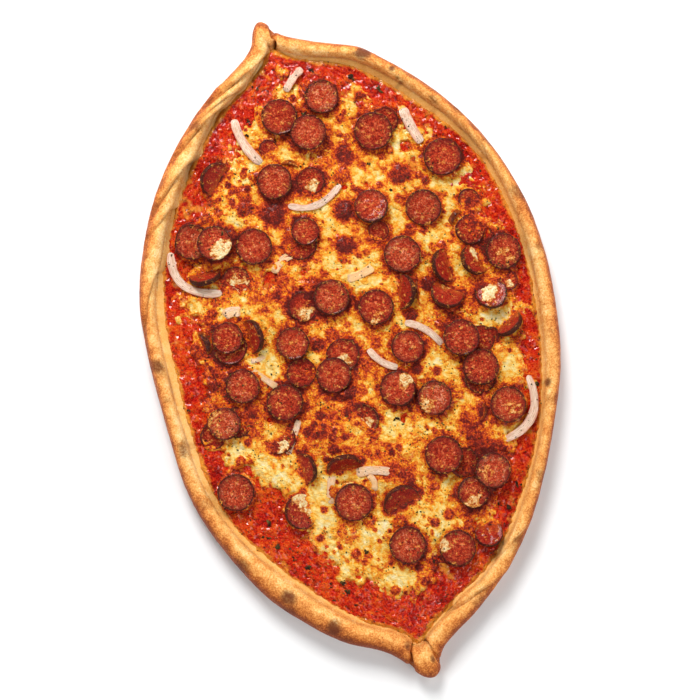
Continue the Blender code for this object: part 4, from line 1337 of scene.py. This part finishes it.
VIEW_TURN = 14.5
LOOK_AT = (-4.4, -0.8)
VIEW_WIDTH = 389.2
LENS = 100.0
LOOK_HEIGHT = 8.0
FLOOR_REACH = 9
FLOOR_LEVEL = -0.0002

floor_mesh = bpy.data.meshes.new("floor")
floor_corners = [(FLOOR_REACH * a, FLOOR_REACH * b, FLOOR_LEVEL) for a, b in ((-1, -1), (1, -1), (1, 1), (-1, 1))]
floor_mesh.from_pydata(floor_corners, [], [(0, 1, 2, 3)])
floor_piece = bpy.data.objects.new("floor", floor_mesh)
bpy.context.scene.collection.objects.link(floor_piece)
floor_look, tree, shader = new_material("floor", Base_Color=(0.93, 0.93, 0.93), Roughness=0.8, Emission_Strength=1.0)
from_middle = put(tree, "ShaderNodeVectorMath", operation="LENGTH")
feed(tree, put(tree, "ShaderNodeTexCoord").outputs["Object"], from_middle.inputs[0])
glow_of_floor = spread(tree, from_middle.outputs["Value"], 0.5, 1.6, 0.0, 0.72)
feed(tree, blend(tree, glow_of_floor, (0.0, 0.0, 0.0), (1.0, 1.0, 1.0)), shader.inputs["Emission Color"])
floor_mesh.materials.append(floor_look)

camera_data = bpy.data.cameras.new("camera")
camera_data.lens = LENS
camera_data.sensor_width = 36.0
camera = bpy.data.objects.new("camera", camera_data)
distance = VIEW_WIDTH * MM * LENS / camera_data.sensor_width
camera.location = (LOOK_AT[0] * MM, LOOK_AT[1] * MM, LOOK_HEIGHT * MM + distance)
camera.rotation_euler = (0.0, 0.0, -math.radians(VIEW_TURN))
bpy.context.scene.collection.objects.link(camera)
bpy.context.scene.camera = camera


def area_light(name, toward, distance, size, power):
    """A square lamp looking at the bread from a direction, at a distance in metres."""
    data = bpy.data.lights.new(name, "AREA")
    data.size = size
    data.energy = power
    lamp = bpy.data.objects.new(name, data)
    direction = Vector(toward).normalized()
    lamp.location = direction * distance
    lamp.rotation_euler = direction.to_track_quat("Z", "Y").to_euler()
    bpy.context.scene.collection.objects.link(lamp)


area_light("key", (-0.04, 1.05, 0.9), 1.3, 0.5, 20.2)
area_light("fill", (0.6, -0.73, 0.75), 1.5, 0.8, 8.2)
area_light("side", (-0.95, 0.0, 0.7), 1.5, 0.8, 6.2)
area_light("far side", (0.95, 0.25, 0.7), 1.5, 0.8, 4.7)
world = bpy.data.worlds.new("sky")
world.use_nodes = True
world.node_tree.nodes["Background"].inputs["Color"].default_value = (1.0, 1.0, 1.0, 1.0)
sky = world.node_tree
height_of_ray = put(sky, "ShaderNodeSeparateXYZ")
feed(sky, put(sky, "ShaderNodeTexCoord").outputs["Generated"], height_of_ray.inputs[0])
feed(sky, spread(sky, height_of_ray.outputs[2], 0.2, 0.55, 0.85, 0.05), sky.nodes["Background"].inputs["Strength"])
bpy.context.scene.world = world
bpy.context.scene.view_settings.view_transform = "Standard"
